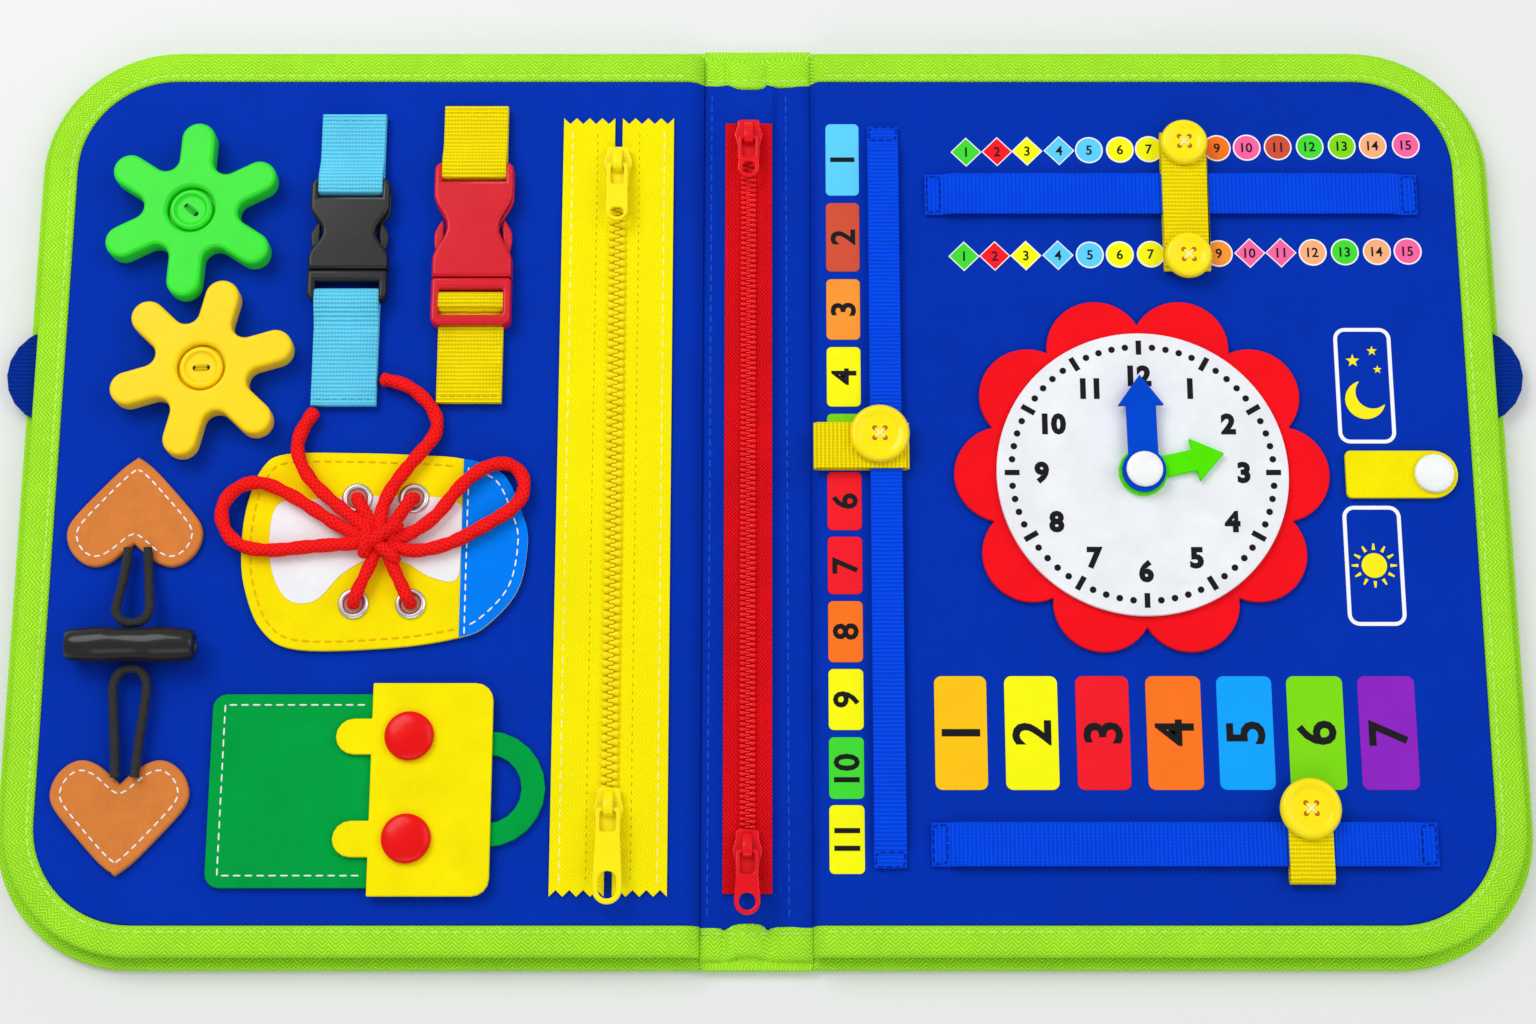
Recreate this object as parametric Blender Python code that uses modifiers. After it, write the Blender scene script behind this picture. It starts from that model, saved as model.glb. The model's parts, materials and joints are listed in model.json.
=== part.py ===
"""Activity book: an opened cloth and board book with gears, buckles, a lacing patch, zips and a clock.

Metres, +Z up. The open book lies on its covers at z = 0, with the middle of its outline at the origin.
"""
import bmesh
import bpy
from math import asin, atan2, cos, hypot, pi, radians, sin, sqrt
from mathutils import Matrix, Vector

for old in list(bpy.data.objects):
    bpy.data.objects.remove(old, do_unlink=True)

# Clearances
touch_gap = 0.0003
cut_overrun = 0.001
weld_distance = 0.00001

# Covers, spine and pages
cover_outer_x = 0.274
cover_half_y = 0.174
cover_corner_r = 0.050
cover_thick = 0.0032
page_outer_x = 0.270
page_half_y = 0.170
page_corner_r = 0.047
page_thick = 0.0043
binding_width = 0.011
binding_leaf = 0.0006
binding_wall = 0.0015
binding_chamfer = 0.0007
binding_proud = 0.0003
layer_gap = 0.0024
spine_mid_x = -0.003
spine_half_x = 0.020
corner_steps = 6

cover_top = cover_thick + binding_proud
page_low = cover_top + layer_gap
page_floor = page_low + binding_proud
page_top = page_floor + page_thick
page_high = page_top + binding_proud + touch_gap / 2
fold_left_x = spine_mid_x - spine_half_x
fold_right_x = spine_mid_x + spine_half_x
on_page = page_top + touch_gap

# Handles
handle_reach_x = 0.2815
handle_mid_y = 0.044
handle_half_y = 0.0185
handle_band = 0.0115
handle_root = 0.030
handle_thick = 0.0018
handle_steps = 10

# Gears
gear_green_x = -0.2136
gear_green_y = 0.1046
gear_yellow_x = -0.2067
gear_yellow_y = 0.0432
gear_tip_r = 0.0342
gear_arm_half = 0.0063
gear_fillet_r = 0.0050
gear_height = 0.0085
gear_chamfer = 0.0011
gear_arms = 6
gear_green_angle = 27.0
gear_yellow_angle = 16.8
gear_tip_steps = 6
gear_fillet_steps = 4
gear_bore_r = 0.0050
gear_recess_r = 0.0088
gear_recess_depth = 0.0034
gear_button_r = 0.0080
gear_button_thick = 0.0024
gear_button_stem_r = gear_bore_r - touch_gap
button_hole_r = 0.0011
button_hole_spread = 0.0026

# Side release buckles
buckle_width = 0.0295
buckle_thick = 0.0066
buckle_ear = 0.0030
buckle_bar = 0.0030
buckle_slot = 0.0045
buckle_bar_thick = 0.0026
buckle_waist = 0.0048
buckle_wall = 0.0013
buckle_socket_long = 0.0285
buckle_prong_long = 0.0195
buckle_prong_wide = 0.0034
buckle_barb = 0.0017
buckle_guide_wide = 0.0044
buckle_mouth_gap = 0.0004
buckle_base = 0.0042
buckle_corner = 0.0030
black_x = -0.1548
black_mouth_y = 0.0817
red_x = -0.1088
red_mouth_y = 0.0787
red_extra_long = 0.0092
red_clip_slot = 0.0030
red_clip_bar = 0.0025
red_rail_gap = 0.0046
red_rail_wide = 0.0040

# Straps
strap_width = 0.0240
strap_thick = 0.0015
strap_lift = 0.0004
strap_fold = 0.0120
strap_bar_clear = 0.0004
blue_top_y = 0.1440
blue_end_y = 0.0301
yellow_top_y = 0.1473
yellow_end_y = 0.0312

# Lacing patch
patch_x = -0.1385
patch_y = -0.0244
patch_half_x = 0.0535
patch_half_y = 0.0366
patch_thick = 0.0018
eyelet_left_x = -0.1483
eyelet_right_x = -0.1277
eyelet_high_y = -0.0051
eyelet_low_y = -0.0443
eyelet_r = 0.0054
eyelet_bore_r = 0.0033
eyelet_proud = 0.0009
lace_r = 0.0026
knot_half_x = 0.0072
knot_half_y = 0.0056
knot_half_z = 0.0042

# Hearts, toggle and cords
heart_x = -0.2287
heart_half_x = 0.0244
heart_tall = 0.0412
heart_thick = 0.0020
upper_heart_tip_y = 0.0106
lower_heart_tip_y = -0.1419
toggle_x = -0.2265
toggle_y = -0.0603
toggle_half_x = 0.0228
toggle_r = 0.0068
toggle_waist_r = 0.0059
cord_r = 0.0018

# Pocket and flap
pocket_left_x = -0.1970
pocket_right_x = -0.0985
pocket_top_y = -0.0772
pocket_low_y = -0.1461
pocket_thick = 0.0018
pocket_corner = 0.0050
arc_y = -0.1111
arc_outer_r = 0.0206
arc_inner_r = 0.0123
flap_left_x = -0.1397
flap_right_x = -0.0968
flap_top_y = -0.0735
flap_low_y = -0.1492
flap_corner = 0.0062
flap_thick = 0.0018
tab_long = 0.0127
tab_half = 0.0064
snap_x = -0.1262
snap_high_y = -0.0927
snap_low_y = -0.1291
snap_cap_r = 0.0088
snap_cap_thick = 0.0026
snap_stud_r = 0.0030
snap_stud_rise = 0.0031
snap_bore_clear = 0.0004

# Zips
tooth_pitch = 0.0056
tooth_reach = 0.0013
bead_near = 0.0016
bead_far = 0.0031
tape_thick = 0.0009
chain_thick = 0.0026
slider_half_x = 0.0052
slider_long = 0.0160
slider_plate = 0.0012
slider_wall = 0.0012
slider_tail_half = 0.0044
lug_half_x = 0.0011
lug_half_y = 0.0028
lug_height = 0.0042
lug_bore_r = 0.0014
pull_thick = 0.0015
pull_half = 0.0040
pull_neck_half = 0.0029
pull_window = 0.0048
pull_side_clear = 0.0004
pull_hole_half = 0.0016
yzip_x = -0.0552
yzip_half = 0.0208
yzip_top_y = 0.1437
yzip_low_y = -0.1491
yslider_high_y = 0.1228
yslider_low_y = -0.1190
ypull_short = 0.0230
ypull_long = 0.0340
rzip_x = -0.0062
rzip_half = 0.0088
rzip_top_y = 0.1430
rzip_low_y = -0.1477
rslider_high_y = 0.1352
rslider_low_y = -0.1333
rpull_short = 0.0170
rpull_long = 0.0230
spine_pad_rise = 0.0036
spine_pad_half_y = 0.1600

# Webbing tracks and pointers on the right page
web_thick = 0.0014
track_ramp = 0.0040
track_foot = 0.0060
pointer_layer = 0.0012
pointer_clear = 0.0003
pointer_side = 0.0014
month_web_x = 0.0443
month_web_half = 0.0058
month_web_high_y = 0.1402
month_web_low_y = -0.1392
number_web_y = 0.1128
number_web_half = 0.0080
number_web_left_x = 0.0599
number_web_right_x = 0.2446
day_web_y = -0.1308
day_web_half = 0.0078
day_web_left_x = 0.0588
day_web_right_x = 0.2376
month_pointer_left_x = 0.0177
month_pointer_y = 0.0146
month_pointer_half = 0.0086
month_button_x = 0.0419
month_button_y = 0.0184
number_pointer_x = 0.1572
number_pointer_half = 0.0086
number_button_high_y = 0.1320
number_button_low_y = 0.0872
number_button_r = 0.0087
number_pointer_tail = 0.0050
day_pointer_x = 0.1922
day_pointer_half = 0.0078
day_pointer_low_y = -0.1449
day_button_y = -0.1187
big_button_r = 0.0108
pointer_button_thick = 0.0028
pointer_button_rim = 0.0007

# Clock
clock_x = 0.1376
clock_y = 0.0042
petal_count = 10
petal_centre_r = 0.0505
petal_r = 0.0180
petal_steps = 6
flower_thick = 0.0018
face_r = 0.0532
face_thick = 0.0018
clock_pin_r = 0.0022
clock_bore_clear = 0.0003
clock_cap_r = 0.0066
clock_cap_thick = 0.0020
hand_thick = 0.0019
hand_head_half = 0.0083
hour_hub_r = 0.0090
hour_long = 0.0304
hour_shaft_half = 0.0040
hour_head = 0.0112
hour_angle = 13.0
minute_hub_r = 0.0080
minute_long = 0.0360
minute_shaft_half = 0.0054
minute_head = 0.0115
minute_angle = 91.0

# Swinging pointer beside the clock
swing_x = 0.2441
swing_y = 0.0042
swing_left = 0.0320
swing_half = 0.0088
swing_thick = 0.0018
swing_cap_r = 0.0072
swing_cap_thick = 0.0021
swing_pin_r = 0.0019

round_steps = 28
small_round_steps = 12

book = bpy.data.collections.new("activity_book")
cutters = bpy.data.collections.new("cutters")
bpy.context.scene.collection.children.link(book)
bpy.context.scene.collection.children.link(cutters)


# Materials
def finish(name, colour, roughness, metallic=0.0):
    made = bpy.data.materials.new(name)
    made.use_nodes = True
    shader = made.node_tree.nodes["Principled BSDF"]
    shader.inputs["Base Color"].default_value = (*colour, 1.0)
    shader.inputs["Roughness"].default_value = roughness
    shader.inputs["Metallic"].default_value = metallic
    made.diffuse_color = (*colour, 1.0)
    return made


# Modelling helpers
def keep(name, mesh, colour, roughness=0.9, metallic=0.0, at=(0, 0, 0)):
    """One named part, with its origin at the point given."""
    mesh.name = name
    mesh.transform(Matrix.Translation(-Vector(at)))
    part = bpy.data.objects.new(name, mesh)
    part.location = at
    part.data.materials.append(finish(name, colour, roughness, metallic))
    book.objects.link(part)
    return part


def guide(mesh):
    """A hidden solid that cuts or joins."""
    tool = bpy.data.objects.new("guide", mesh)
    tool.hide_render = True
    tool.display_type = "WIRE"
    cutters.objects.link(tool)
    return tool


def boolean(part, mesh, kind="DIFFERENCE", solver="EXACT"):
    change = part.modifiers.new(kind.lower(), "BOOLEAN")
    change.operation = kind
    change.solver = solver
    change.object = guide(mesh)


def from_curve(curve):
    holder = bpy.data.objects.new("outline", curve)
    bpy.context.scene.collection.objects.link(holder)
    graph = bpy.context.evaluated_depsgraph_get()
    mesh = bpy.data.meshes.new_from_object(holder.evaluated_get(graph))
    bpy.data.objects.remove(holder, do_unlink=True)
    work = bmesh.new()
    work.from_mesh(mesh)
    bmesh.ops.remove_doubles(work, verts=work.verts, dist=weld_distance)
    bmesh.ops.recalc_face_normals(work, faces=work.faces)
    work.to_mesh(mesh)
    work.free()
    return mesh


def flat(loops, low, high, along="z"):
    """A flat outline, with any holes, extruded along an axis from low to high."""
    curve = bpy.data.curves.new("outline", "CURVE")
    curve.dimensions = "2D"
    curve.fill_mode = "BOTH"
    curve.extrude = (high - low) / 2
    for loop in loops:
        line = curve.splines.new("POLY")
        line.points.add(len(loop) - 1)
        line.use_cyclic_u = True
        for point, (across, up) in zip(line.points, loop):
            point.co = (across, up, 0, 1)
    mesh = from_curve(curve)
    middle = (low + high) / 2
    if along == "z":
        mesh.transform(Matrix.Translation((0, 0, middle)))
    if along == "x":
        mesh.transform(Matrix(((0, 0, 1, middle), (1, 0, 0, 0), (0, 1, 0, 0), (0, 0, 0, 1))))
    if along == "y":
        mesh.transform(Matrix(((1, 0, 0, 0), (0, 0, -1, middle), (0, 1, 0, 0), (0, 0, 0, 1))))
    return mesh


def skin(rings):
    """A closed surface through rings of equal count, with its two ends capped."""
    work = bmesh.new()
    rows = [[work.verts.new(point) for point in ring] for ring in rings]
    count = len(rings[0])
    for first, second in zip(rows, rows[1:]):
        for step in range(count):
            after = (step + 1) % count
            work.faces.new((first[step], first[after], second[after], second[step]))
    work.faces.new(rows[0][::-1])
    work.faces.new(rows[-1])
    bmesh.ops.recalc_face_normals(work, faces=work.faces)
    mesh = bpy.data.meshes.new("skin")
    work.to_mesh(mesh)
    work.free()
    return mesh


def turned(profile, steps=round_steps, at=(0, 0, 0), along="z"):
    """A profile of (radius, height) from its top centre to its low centre, turned with Screw."""
    mesh = bpy.data.meshes.new("turned")
    points = [(radius, 0, height) for radius, height in profile]
    mesh.from_pydata(points, [(step, step + 1) for step in range(len(points) - 1)], [])
    holder = bpy.data.objects.new("turned", mesh)
    bpy.context.scene.collection.objects.link(holder)
    screw = holder.modifiers.new("screw", "SCREW")
    screw.steps = steps
    screw.render_steps = steps
    screw.use_merge_vertices = True
    screw.merge_threshold = weld_distance
    graph = bpy.context.evaluated_depsgraph_get()
    made = bpy.data.meshes.new_from_object(holder.evaluated_get(graph))
    bpy.data.objects.remove(holder, do_unlink=True)
    work = bmesh.new()
    work.from_mesh(made)
    bmesh.ops.remove_doubles(work, verts=work.verts, dist=weld_distance)
    bmesh.ops.recalc_face_normals(work, faces=work.faces)
    work.to_mesh(made)
    work.free()
    if along == "x":
        made.transform(Matrix.Rotation(pi / 2, 4, "Y"))
    made.transform(Matrix.Translation(at))
    return made


def drum(radius, low, high, at, steps=round_steps, along="z"):
    """A cylinder along an axis, from low to high, at a point of the other two axes."""
    work = bmesh.new()
    bmesh.ops.create_cone(work, cap_ends=True, segments=steps, radius1=radius, radius2=radius,
                          depth=high - low)
    mesh = bpy.data.meshes.new("drum")
    work.to_mesh(mesh)
    work.free()
    middle = (low + high) / 2
    if along == "z":
        mesh.transform(Matrix.Translation((at[0], at[1], middle)))
    else:
        mesh.transform(Matrix.Rotation(pi / 2, 4, "Y"))
        mesh.transform(Matrix.Translation((middle, at[0], at[1])))
    return mesh


def block(low, high):
    """A box between two corners."""
    work = bmesh.new()
    bmesh.ops.create_cube(work, size=1)
    mesh = bpy.data.meshes.new("block")
    work.to_mesh(mesh)
    work.free()
    size = Vector(high) - Vector(low)
    mesh.transform(Matrix.Diagonal((*size, 1)))
    mesh.transform(Matrix.Translation((Vector(low) + Vector(high)) / 2))
    return mesh


def smooth(points, count):
    """A curve through the points, with count steps between each two."""
    found = []
    ends = [points[0] * 2 - points[1], *points, points[-1] * 2 - points[-2]]
    for first, start, end, last in zip(ends, ends[1:], ends[2:], ends[3:]):
        for step in range(count):
            part = step / count
            found.append((start * 2 + (end - first) * part
                          + (first * 2 - start * 5 + end * 4 - last) * part ** 2
                          + (start * 3 - first - end * 3 + last) * part ** 3) / 2)
    found.append(points[-1])
    return found


def tube(points, radius, resolution=2):
    curve = bpy.data.curves.new("tube", "CURVE")
    curve.dimensions = "3D"
    curve.bevel_depth = radius
    curve.bevel_resolution = resolution
    curve.use_fill_caps = True
    line = curve.splines.new("POLY")
    line.points.add(len(points) - 1)
    for point, place in zip(line.points, points):
        point.co = (*place, 1)
    return from_curve(curve)


def arc(centre_x, centre_y, radius, start, end, steps):
    """Points on an arc, from start to end in degrees."""
    found = []
    for step in range(steps + 1):
        angle = radians(start + (end - start) * step / steps)
        found.append((centre_x + radius * cos(angle), centre_y + radius * sin(angle)))
    return found


def circle(centre_x, centre_y, radius, steps=round_steps):
    return arc(centre_x, centre_y, radius, 0, 360 * (steps - 1) / steps, steps - 1)


def ribbon(path, thick):
    """The closed outline of a strap seen edge on: its middle line, thickened both ways."""
    upper = []
    lower = []
    for step, (across, up) in enumerate(path):
        before = path[max(step - 1, 0)]
        after = path[min(step + 1, len(path) - 1)]
        runs = []
        for (start_a, start_u), (end_a, end_u) in ((before, (across, up)), ((across, up), after)):
            long = hypot(end_a - start_a, end_u - start_u)
            if long > 0:
                runs.append(((end_a - start_a) / long, (end_u - start_u) / long))
        along_a = sum(run[0] for run in runs)
        along_u = sum(run[1] for run in runs)
        long = hypot(along_a, along_u)
        along_a, along_u = along_a / long, along_u / long
        mitre = along_a * runs[0][0] + along_u * runs[0][1]
        half = thick / 2 / mitre
        upper.append((across - along_u * half, up + along_a * half))
        lower.append((across + along_u * half, up - along_a * half))
    return lower + upper[::-1]


# Covers and pages
def board_path(inner_x, outer_x, half_y, corner_r, inset):
    """From the low spine corner round the outer edge to the high spine corner, moved inwards by inset."""
    side = 1 if outer_x > inner_x else -1
    radius = corner_r - inset
    centre_x = outer_x - side * corner_r
    centre_y = half_y - corner_r
    low = arc(centre_x, -centre_y, radius, -90, -90 + side * 90, corner_steps)
    high = arc(centre_x, centre_y, radius, 90 - side * 90, 90, corner_steps)
    return [(inner_x, -half_y + inset), *low, *high, (inner_x, half_y - inset)]


def panel(inner_x, outer_x, half_y, corner_r, low, high):
    """A board with a thinner rim that fits in the folded binding."""
    rim_low = low + binding_leaf + touch_gap
    rim_high = high - binding_leaf - touch_gap
    if low > cover_top:
        rim_low = page_low + binding_leaf + touch_gap
        rim_high = page_high - binding_leaf - touch_gap
    if low < cover_top:
        rim_high = cover_top - binding_leaf - touch_gap
    inside = binding_width + touch_gap
    edge = binding_wall + touch_gap
    steps = ((inside, low), (inside, rim_low), (edge, rim_low), (edge, rim_high), (inside, rim_high),
             (inside, high))
    rings = []
    for inset, height in steps:
        path = board_path(inner_x, outer_x, half_y, corner_r, inset)
        rings.append([(across, up, height) for across, up in path])
    return skin(rings)


def binding(inner_x, outer_x, half_y, corner_r, low, high):
    """A strip folded over the edge of a board, run round its three free sides."""
    slot_low = low + binding_leaf
    slot_high = high - binding_leaf
    profile = ((0, low + binding_chamfer), (0, high - binding_chamfer), (binding_chamfer, high),
               (binding_width, high), (binding_width, slot_high), (binding_wall, slot_high),
               (binding_wall, slot_low), (binding_width, slot_low), (binding_width, low),
               (binding_chamfer, low))
    paths = [board_path(inner_x, outer_x, half_y, corner_r, inset) for inset, height in profile]
    rings = []
    for step in range(len(paths[0])):
        rings.append([(*path[step], height) for path, (inset, height) in zip(paths, profile)])
    return skin(rings)


fold_gap = touch_gap / 2
lime = (0.45, 0.68, 0.10)
charcoal = (0.035, 0.036, 0.042)
blue = (0.02, 0.17, 0.52)
for side, fold_x in (("left", fold_left_x), ("right", fold_right_x)):
    sign = -1 if side == "left" else 1
    axis_at = (fold_x, 0, cover_top)
    page_axis = (fold_x, 0, page_low - touch_gap / 2)
    near_x = fold_x + sign * fold_gap
    cover = (near_x, sign * cover_outer_x, cover_half_y, cover_corner_r)
    page = (near_x, sign * page_outer_x, page_half_y, page_corner_r)
    keep(side + "_cover", panel(*cover, 0, cover_thick), charcoal, at=axis_at)
    keep(side + "_cover_binding", binding(*cover, 0, cover_top), lime, at=axis_at)
    keep(side + "_page", panel(*page, page_floor, page_top), charcoal, at=page_axis)
    keep(side + "_page_binding", binding(*page, page_low, page_high), lime, at=page_axis)
    handle_x = handle_reach_x - handle_half_y
    outer = arc(handle_x, handle_mid_y, handle_half_y, -90, 90, handle_steps)
    inner = arc(handle_x, handle_mid_y, handle_half_y - handle_band, 90, -90, handle_steps)
    root_x = handle_x - handle_root
    loop = [(root_x, outer[0][1]), *outer, (root_x, outer[-1][1]), (root_x, inner[0][1]), *inner,
            (root_x, inner[-1][1])]
    handle_low = cover_top + touch_gap
    loop = [(sign * across, up) for across, up in loop][::sign]
    keep(side + "_handle", flat([loop], handle_low, handle_low + handle_thick), blue, at=axis_at)

# Spine: a panel with a raised pad under its zip, and a thicker band at each end
spine_left = fold_left_x + fold_gap
spine_right = fold_right_x - fold_gap
zip_floor = cover_thick + spine_pad_rise
spine_profile = [(-cover_half_y, 0), (cover_half_y, 0), (cover_half_y, cover_top),
                 (cover_half_y - binding_width, cover_top), (cover_half_y - binding_width, cover_thick),
                 (-cover_half_y + binding_width, cover_thick),
                 (-cover_half_y + binding_width, cover_top), (-cover_half_y, cover_top)]
spine = keep("spine", flat([spine_profile], spine_left, spine_right, "x"), charcoal)
pad_left = rzip_x - rzip_half
pad_right = rzip_x + rzip_half
boolean(spine, block((pad_left, -spine_pad_half_y, cover_thick / 2),
                     (pad_right, spine_pad_half_y, zip_floor)), "UNION")


# Gears
def gear_outline(centre_x, centre_y, turn, inset):
    """Round ended arms joined by round hollows, moved inwards by inset."""
    found = []
    pitch = 360 / gear_arms
    tip_centre = gear_tip_r - gear_arm_half
    fillet_centre = (gear_arm_half + gear_fillet_r) / sin(radians(pitch / 2))
    for arm in range(gear_arms):
        angle = turn + arm * pitch
        here_x = centre_x + tip_centre * cos(radians(angle))
        here_y = centre_y + tip_centre * sin(radians(angle))
        found += arc(here_x, here_y, gear_arm_half - inset, angle - 90, angle + 90, gear_tip_steps)
        between = angle + pitch / 2
        here_x = centre_x + fillet_centre * cos(radians(between))
        here_y = centre_y + fillet_centre * sin(radians(between))
        found += arc(here_x, here_y, gear_fillet_r + inset, angle + 270, angle + 90 + pitch,
                     gear_fillet_steps)
    return found


green = (0.04, 0.42, 0.13)
yellow = (0.86, 0.60, 0.03)
gear_top = on_page + gear_height
for name, centre_x, centre_y, turn, colour in (
        ("green_gear", gear_green_x, gear_green_y, gear_green_angle, green),
        ("yellow_gear", gear_yellow_x, gear_yellow_y, gear_yellow_angle, yellow)):
    at = (centre_x, centre_y, on_page)
    rings = []
    for inset, height in ((gear_chamfer, on_page), (0, on_page + gear_chamfer),
                          (0, gear_top - gear_chamfer), (gear_chamfer, gear_top)):
        rim = gear_outline(centre_x, centre_y, turn, inset)
        rings.append([(across, up, height) for across, up in rim])
    gear = keep(name, skin(rings), colour, 0.95, at=at)
    boolean(gear, drum(gear_bore_r, on_page - cut_overrun, gear_top + cut_overrun, at, 20))
    recess_floor = gear_top - gear_recess_depth
    boolean(gear, drum(gear_recess_r, recess_floor, gear_top + cut_overrun, at, 24))
    head_low = recess_floor + touch_gap
    head_high = head_low + gear_button_thick
    rim_round = gear_button_thick / 4
    profile = ((0, head_high - rim_round), (gear_button_r - rim_round * 3, head_high - rim_round),
               (gear_button_r - rim_round * 2, head_high), (gear_button_r - rim_round, head_high),
               (gear_button_r, head_high - rim_round), (gear_button_r, head_low + rim_round),
               (gear_button_r - rim_round, head_low), (gear_button_stem_r, head_low),
               (gear_button_stem_r, on_page), (0, on_page))
    button = keep(name + "_button", turned(profile, 16, (centre_x, centre_y, 0)), colour, 0.35, at=at)
    for side in (-1, 1):
        hole_at = (centre_x + side * button_hole_spread, centre_y)
        boolean(button, drum(button_hole_r, on_page - cut_overrun, head_high + cut_overrun, hole_at,
                             8))

# Side release buckles: socket above, clip with two prongs below
strap_low = on_page + strap_lift
strap_mid = strap_low + strap_thick / 2
bar_low = strap_low + strap_thick + strap_bar_clear
bar_high = bar_low + buckle_bar_thick
strap_over = bar_high + strap_bar_clear + strap_thick / 2
strap_back = strap_mid + strap_thick + touch_gap
buckle_high = on_page + buckle_thick
buckle_half = buckle_width / 2
bar_half = strap_width / 2 + strap_bar_clear
waist_steps = 8
waist_start_share = 0.22
waist_end_share = 0.86


def thin_bar(part, centre_x, low_y, high_y):
    """Thins a cross bar from below and above so that a strap goes round it."""
    for low, high in ((on_page - cut_overrun, bar_low), (bar_high, buckle_high + cut_overrun)):
        boolean(part, block((centre_x - bar_half, low_y, low), (centre_x + bar_half, high_y, high)))


def buckle(name, centre_x, mouth_y, body_long, colour, clip_slot, clip_bar, rail_gap, rail_wide):
    """The socket and the clip. A clip with a rail has a second cross bar, under which the strap leaves."""
    body_top = mouth_y + body_long
    bar_near = body_top + buckle_slot
    bar_far = bar_near + buckle_bar
    side = []
    for step in range(waist_steps + 1):
        share = step / waist_steps
        place = body_long * (waist_start_share + (waist_end_share - waist_start_share) * share)
        side.append((buckle_half - buckle_waist * sin(pi * share) ** 2, mouth_y + place))
    corner = arc(buckle_half - buckle_corner, bar_far - buckle_corner, buckle_corner, 0, 90, 3)
    right = [(buckle_half, mouth_y), *side, *corner]
    rim = [(centre_x + across, up) for across, up in right]
    rim += [(centre_x - across, up) for across, up in right[::-1]]
    slot = [(centre_x - bar_half, body_top), (centre_x + bar_half, body_top),
            (centre_x + bar_half, bar_near), (centre_x - bar_half, bar_near)]
    at = (centre_x, mouth_y, on_page)
    socket = keep(name + "_socket", flat([rim, slot], on_page, buckle_high), colour, 0.4, at=at)
    room = buckle_half - buckle_wall
    boolean(socket, block((centre_x - room, mouth_y - cut_overrun, on_page + buckle_wall),
                          (centre_x + room, mouth_y + buckle_prong_long + buckle_wall,
                           buckle_high - buckle_wall)))
    thin_bar(socket, centre_x, bar_near - cut_overrun, bar_far + cut_overrun)

    base_top = mouth_y - buckle_mouth_gap
    base_low = base_top - buckle_base
    clip_bar_high = base_low - clip_slot
    clip_bar_low = clip_bar_high - clip_bar
    frame_low = clip_bar_low - rail_gap - rail_wide
    corner = arc(buckle_half - buckle_corner, frame_low + buckle_corner, buckle_corner, -90, 0, 3)
    right = [*corner, (buckle_half, base_top)]
    rim = [(centre_x + across, up) for across, up in right]
    rim += [(centre_x - across, up) for across, up in right[::-1]]
    slot = [(centre_x - bar_half, clip_bar_high), (centre_x + bar_half, clip_bar_high),
            (centre_x + bar_half, base_low), (centre_x - bar_half, base_low)]
    openings = [slot]
    if rail_wide:
        rail_high = frame_low + rail_wide
        openings.append([(centre_x - bar_half, rail_high), (centre_x + bar_half, rail_high),
                         (centre_x + bar_half, clip_bar_low), (centre_x - bar_half, clip_bar_low)])
    clip = keep(name + "_clip", flat([rim, *openings], on_page, buckle_high), colour, 0.4, at=at)
    if rail_wide:
        boolean(clip, block((centre_x - bar_half, frame_low - cut_overrun, on_page - cut_overrun),
                            (centre_x + bar_half, rail_high + cut_overrun,
                             strap_back + strap_thick / 2 + strap_bar_clear)))
    prong_out = room - buckle_mouth_gap
    prong_in = prong_out - buckle_barb - buckle_prong_wide
    foot = base_top - buckle_base / 2
    tip = mouth_y + buckle_prong_long
    barb_low = mouth_y + buckle_prong_long * 0.60
    barb_high = mouth_y + buckle_prong_long * 0.76
    guide_half = buckle_guide_wide / 2
    prong = [(prong_out - buckle_barb, foot), (prong_out - buckle_barb, barb_low), (prong_out, barb_low),
             (prong_out, barb_high), (prong_in + buckle_barb, tip), (prong_in, tip - buckle_barb),
             (prong_in, base_top), (guide_half, base_top)]
    tongue = [(guide_half, base_top), (guide_half * 0.8, mouth_y + buckle_prong_long / 2)]
    right = prong[:-1] + tongue
    shape = [(centre_x + across, up) for across, up in right]
    shape += [(centre_x - across, up) for across, up in right[::-1]]
    prong_low = on_page + buckle_wall + buckle_mouth_gap
    boolean(clip, flat([shape], prong_low, buckle_high - buckle_wall - buckle_mouth_gap), "UNION")
    thin_bar(clip, centre_x, clip_bar_low - cut_overrun, clip_bar_high + cut_overrun)
    return bar_near, bar_far, clip_bar_low, clip_bar_high


def strap(name, centre_x, far_y, near_y, away_y, colour, drop=strap_fold / 2, fold=strap_fold):
    """A strap sewn at far_y that goes under a bar, round its near side and back along its top."""
    way = 1 if far_y > near_y else -1
    turn = near_y - way * (strap_bar_clear + strap_thick / 2)
    step = strap_thick * 2 / 3
    path = [(far_y, strap_mid), (turn + way * step, strap_mid), (turn, strap_mid + step),
            (turn, strap_over - step), (turn + way * step, strap_over),
            (away_y + way * strap_thick, strap_over),
            (away_y + way * drop, strap_back), (away_y + way * fold, strap_back)]
    half = strap_width / 2
    mesh = flat([ribbon(path, strap_thick)], centre_x - half, centre_x + half, "x")
    return keep(name, mesh, colour, 0.9, at=(centre_x, far_y, strap_low))


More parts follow.
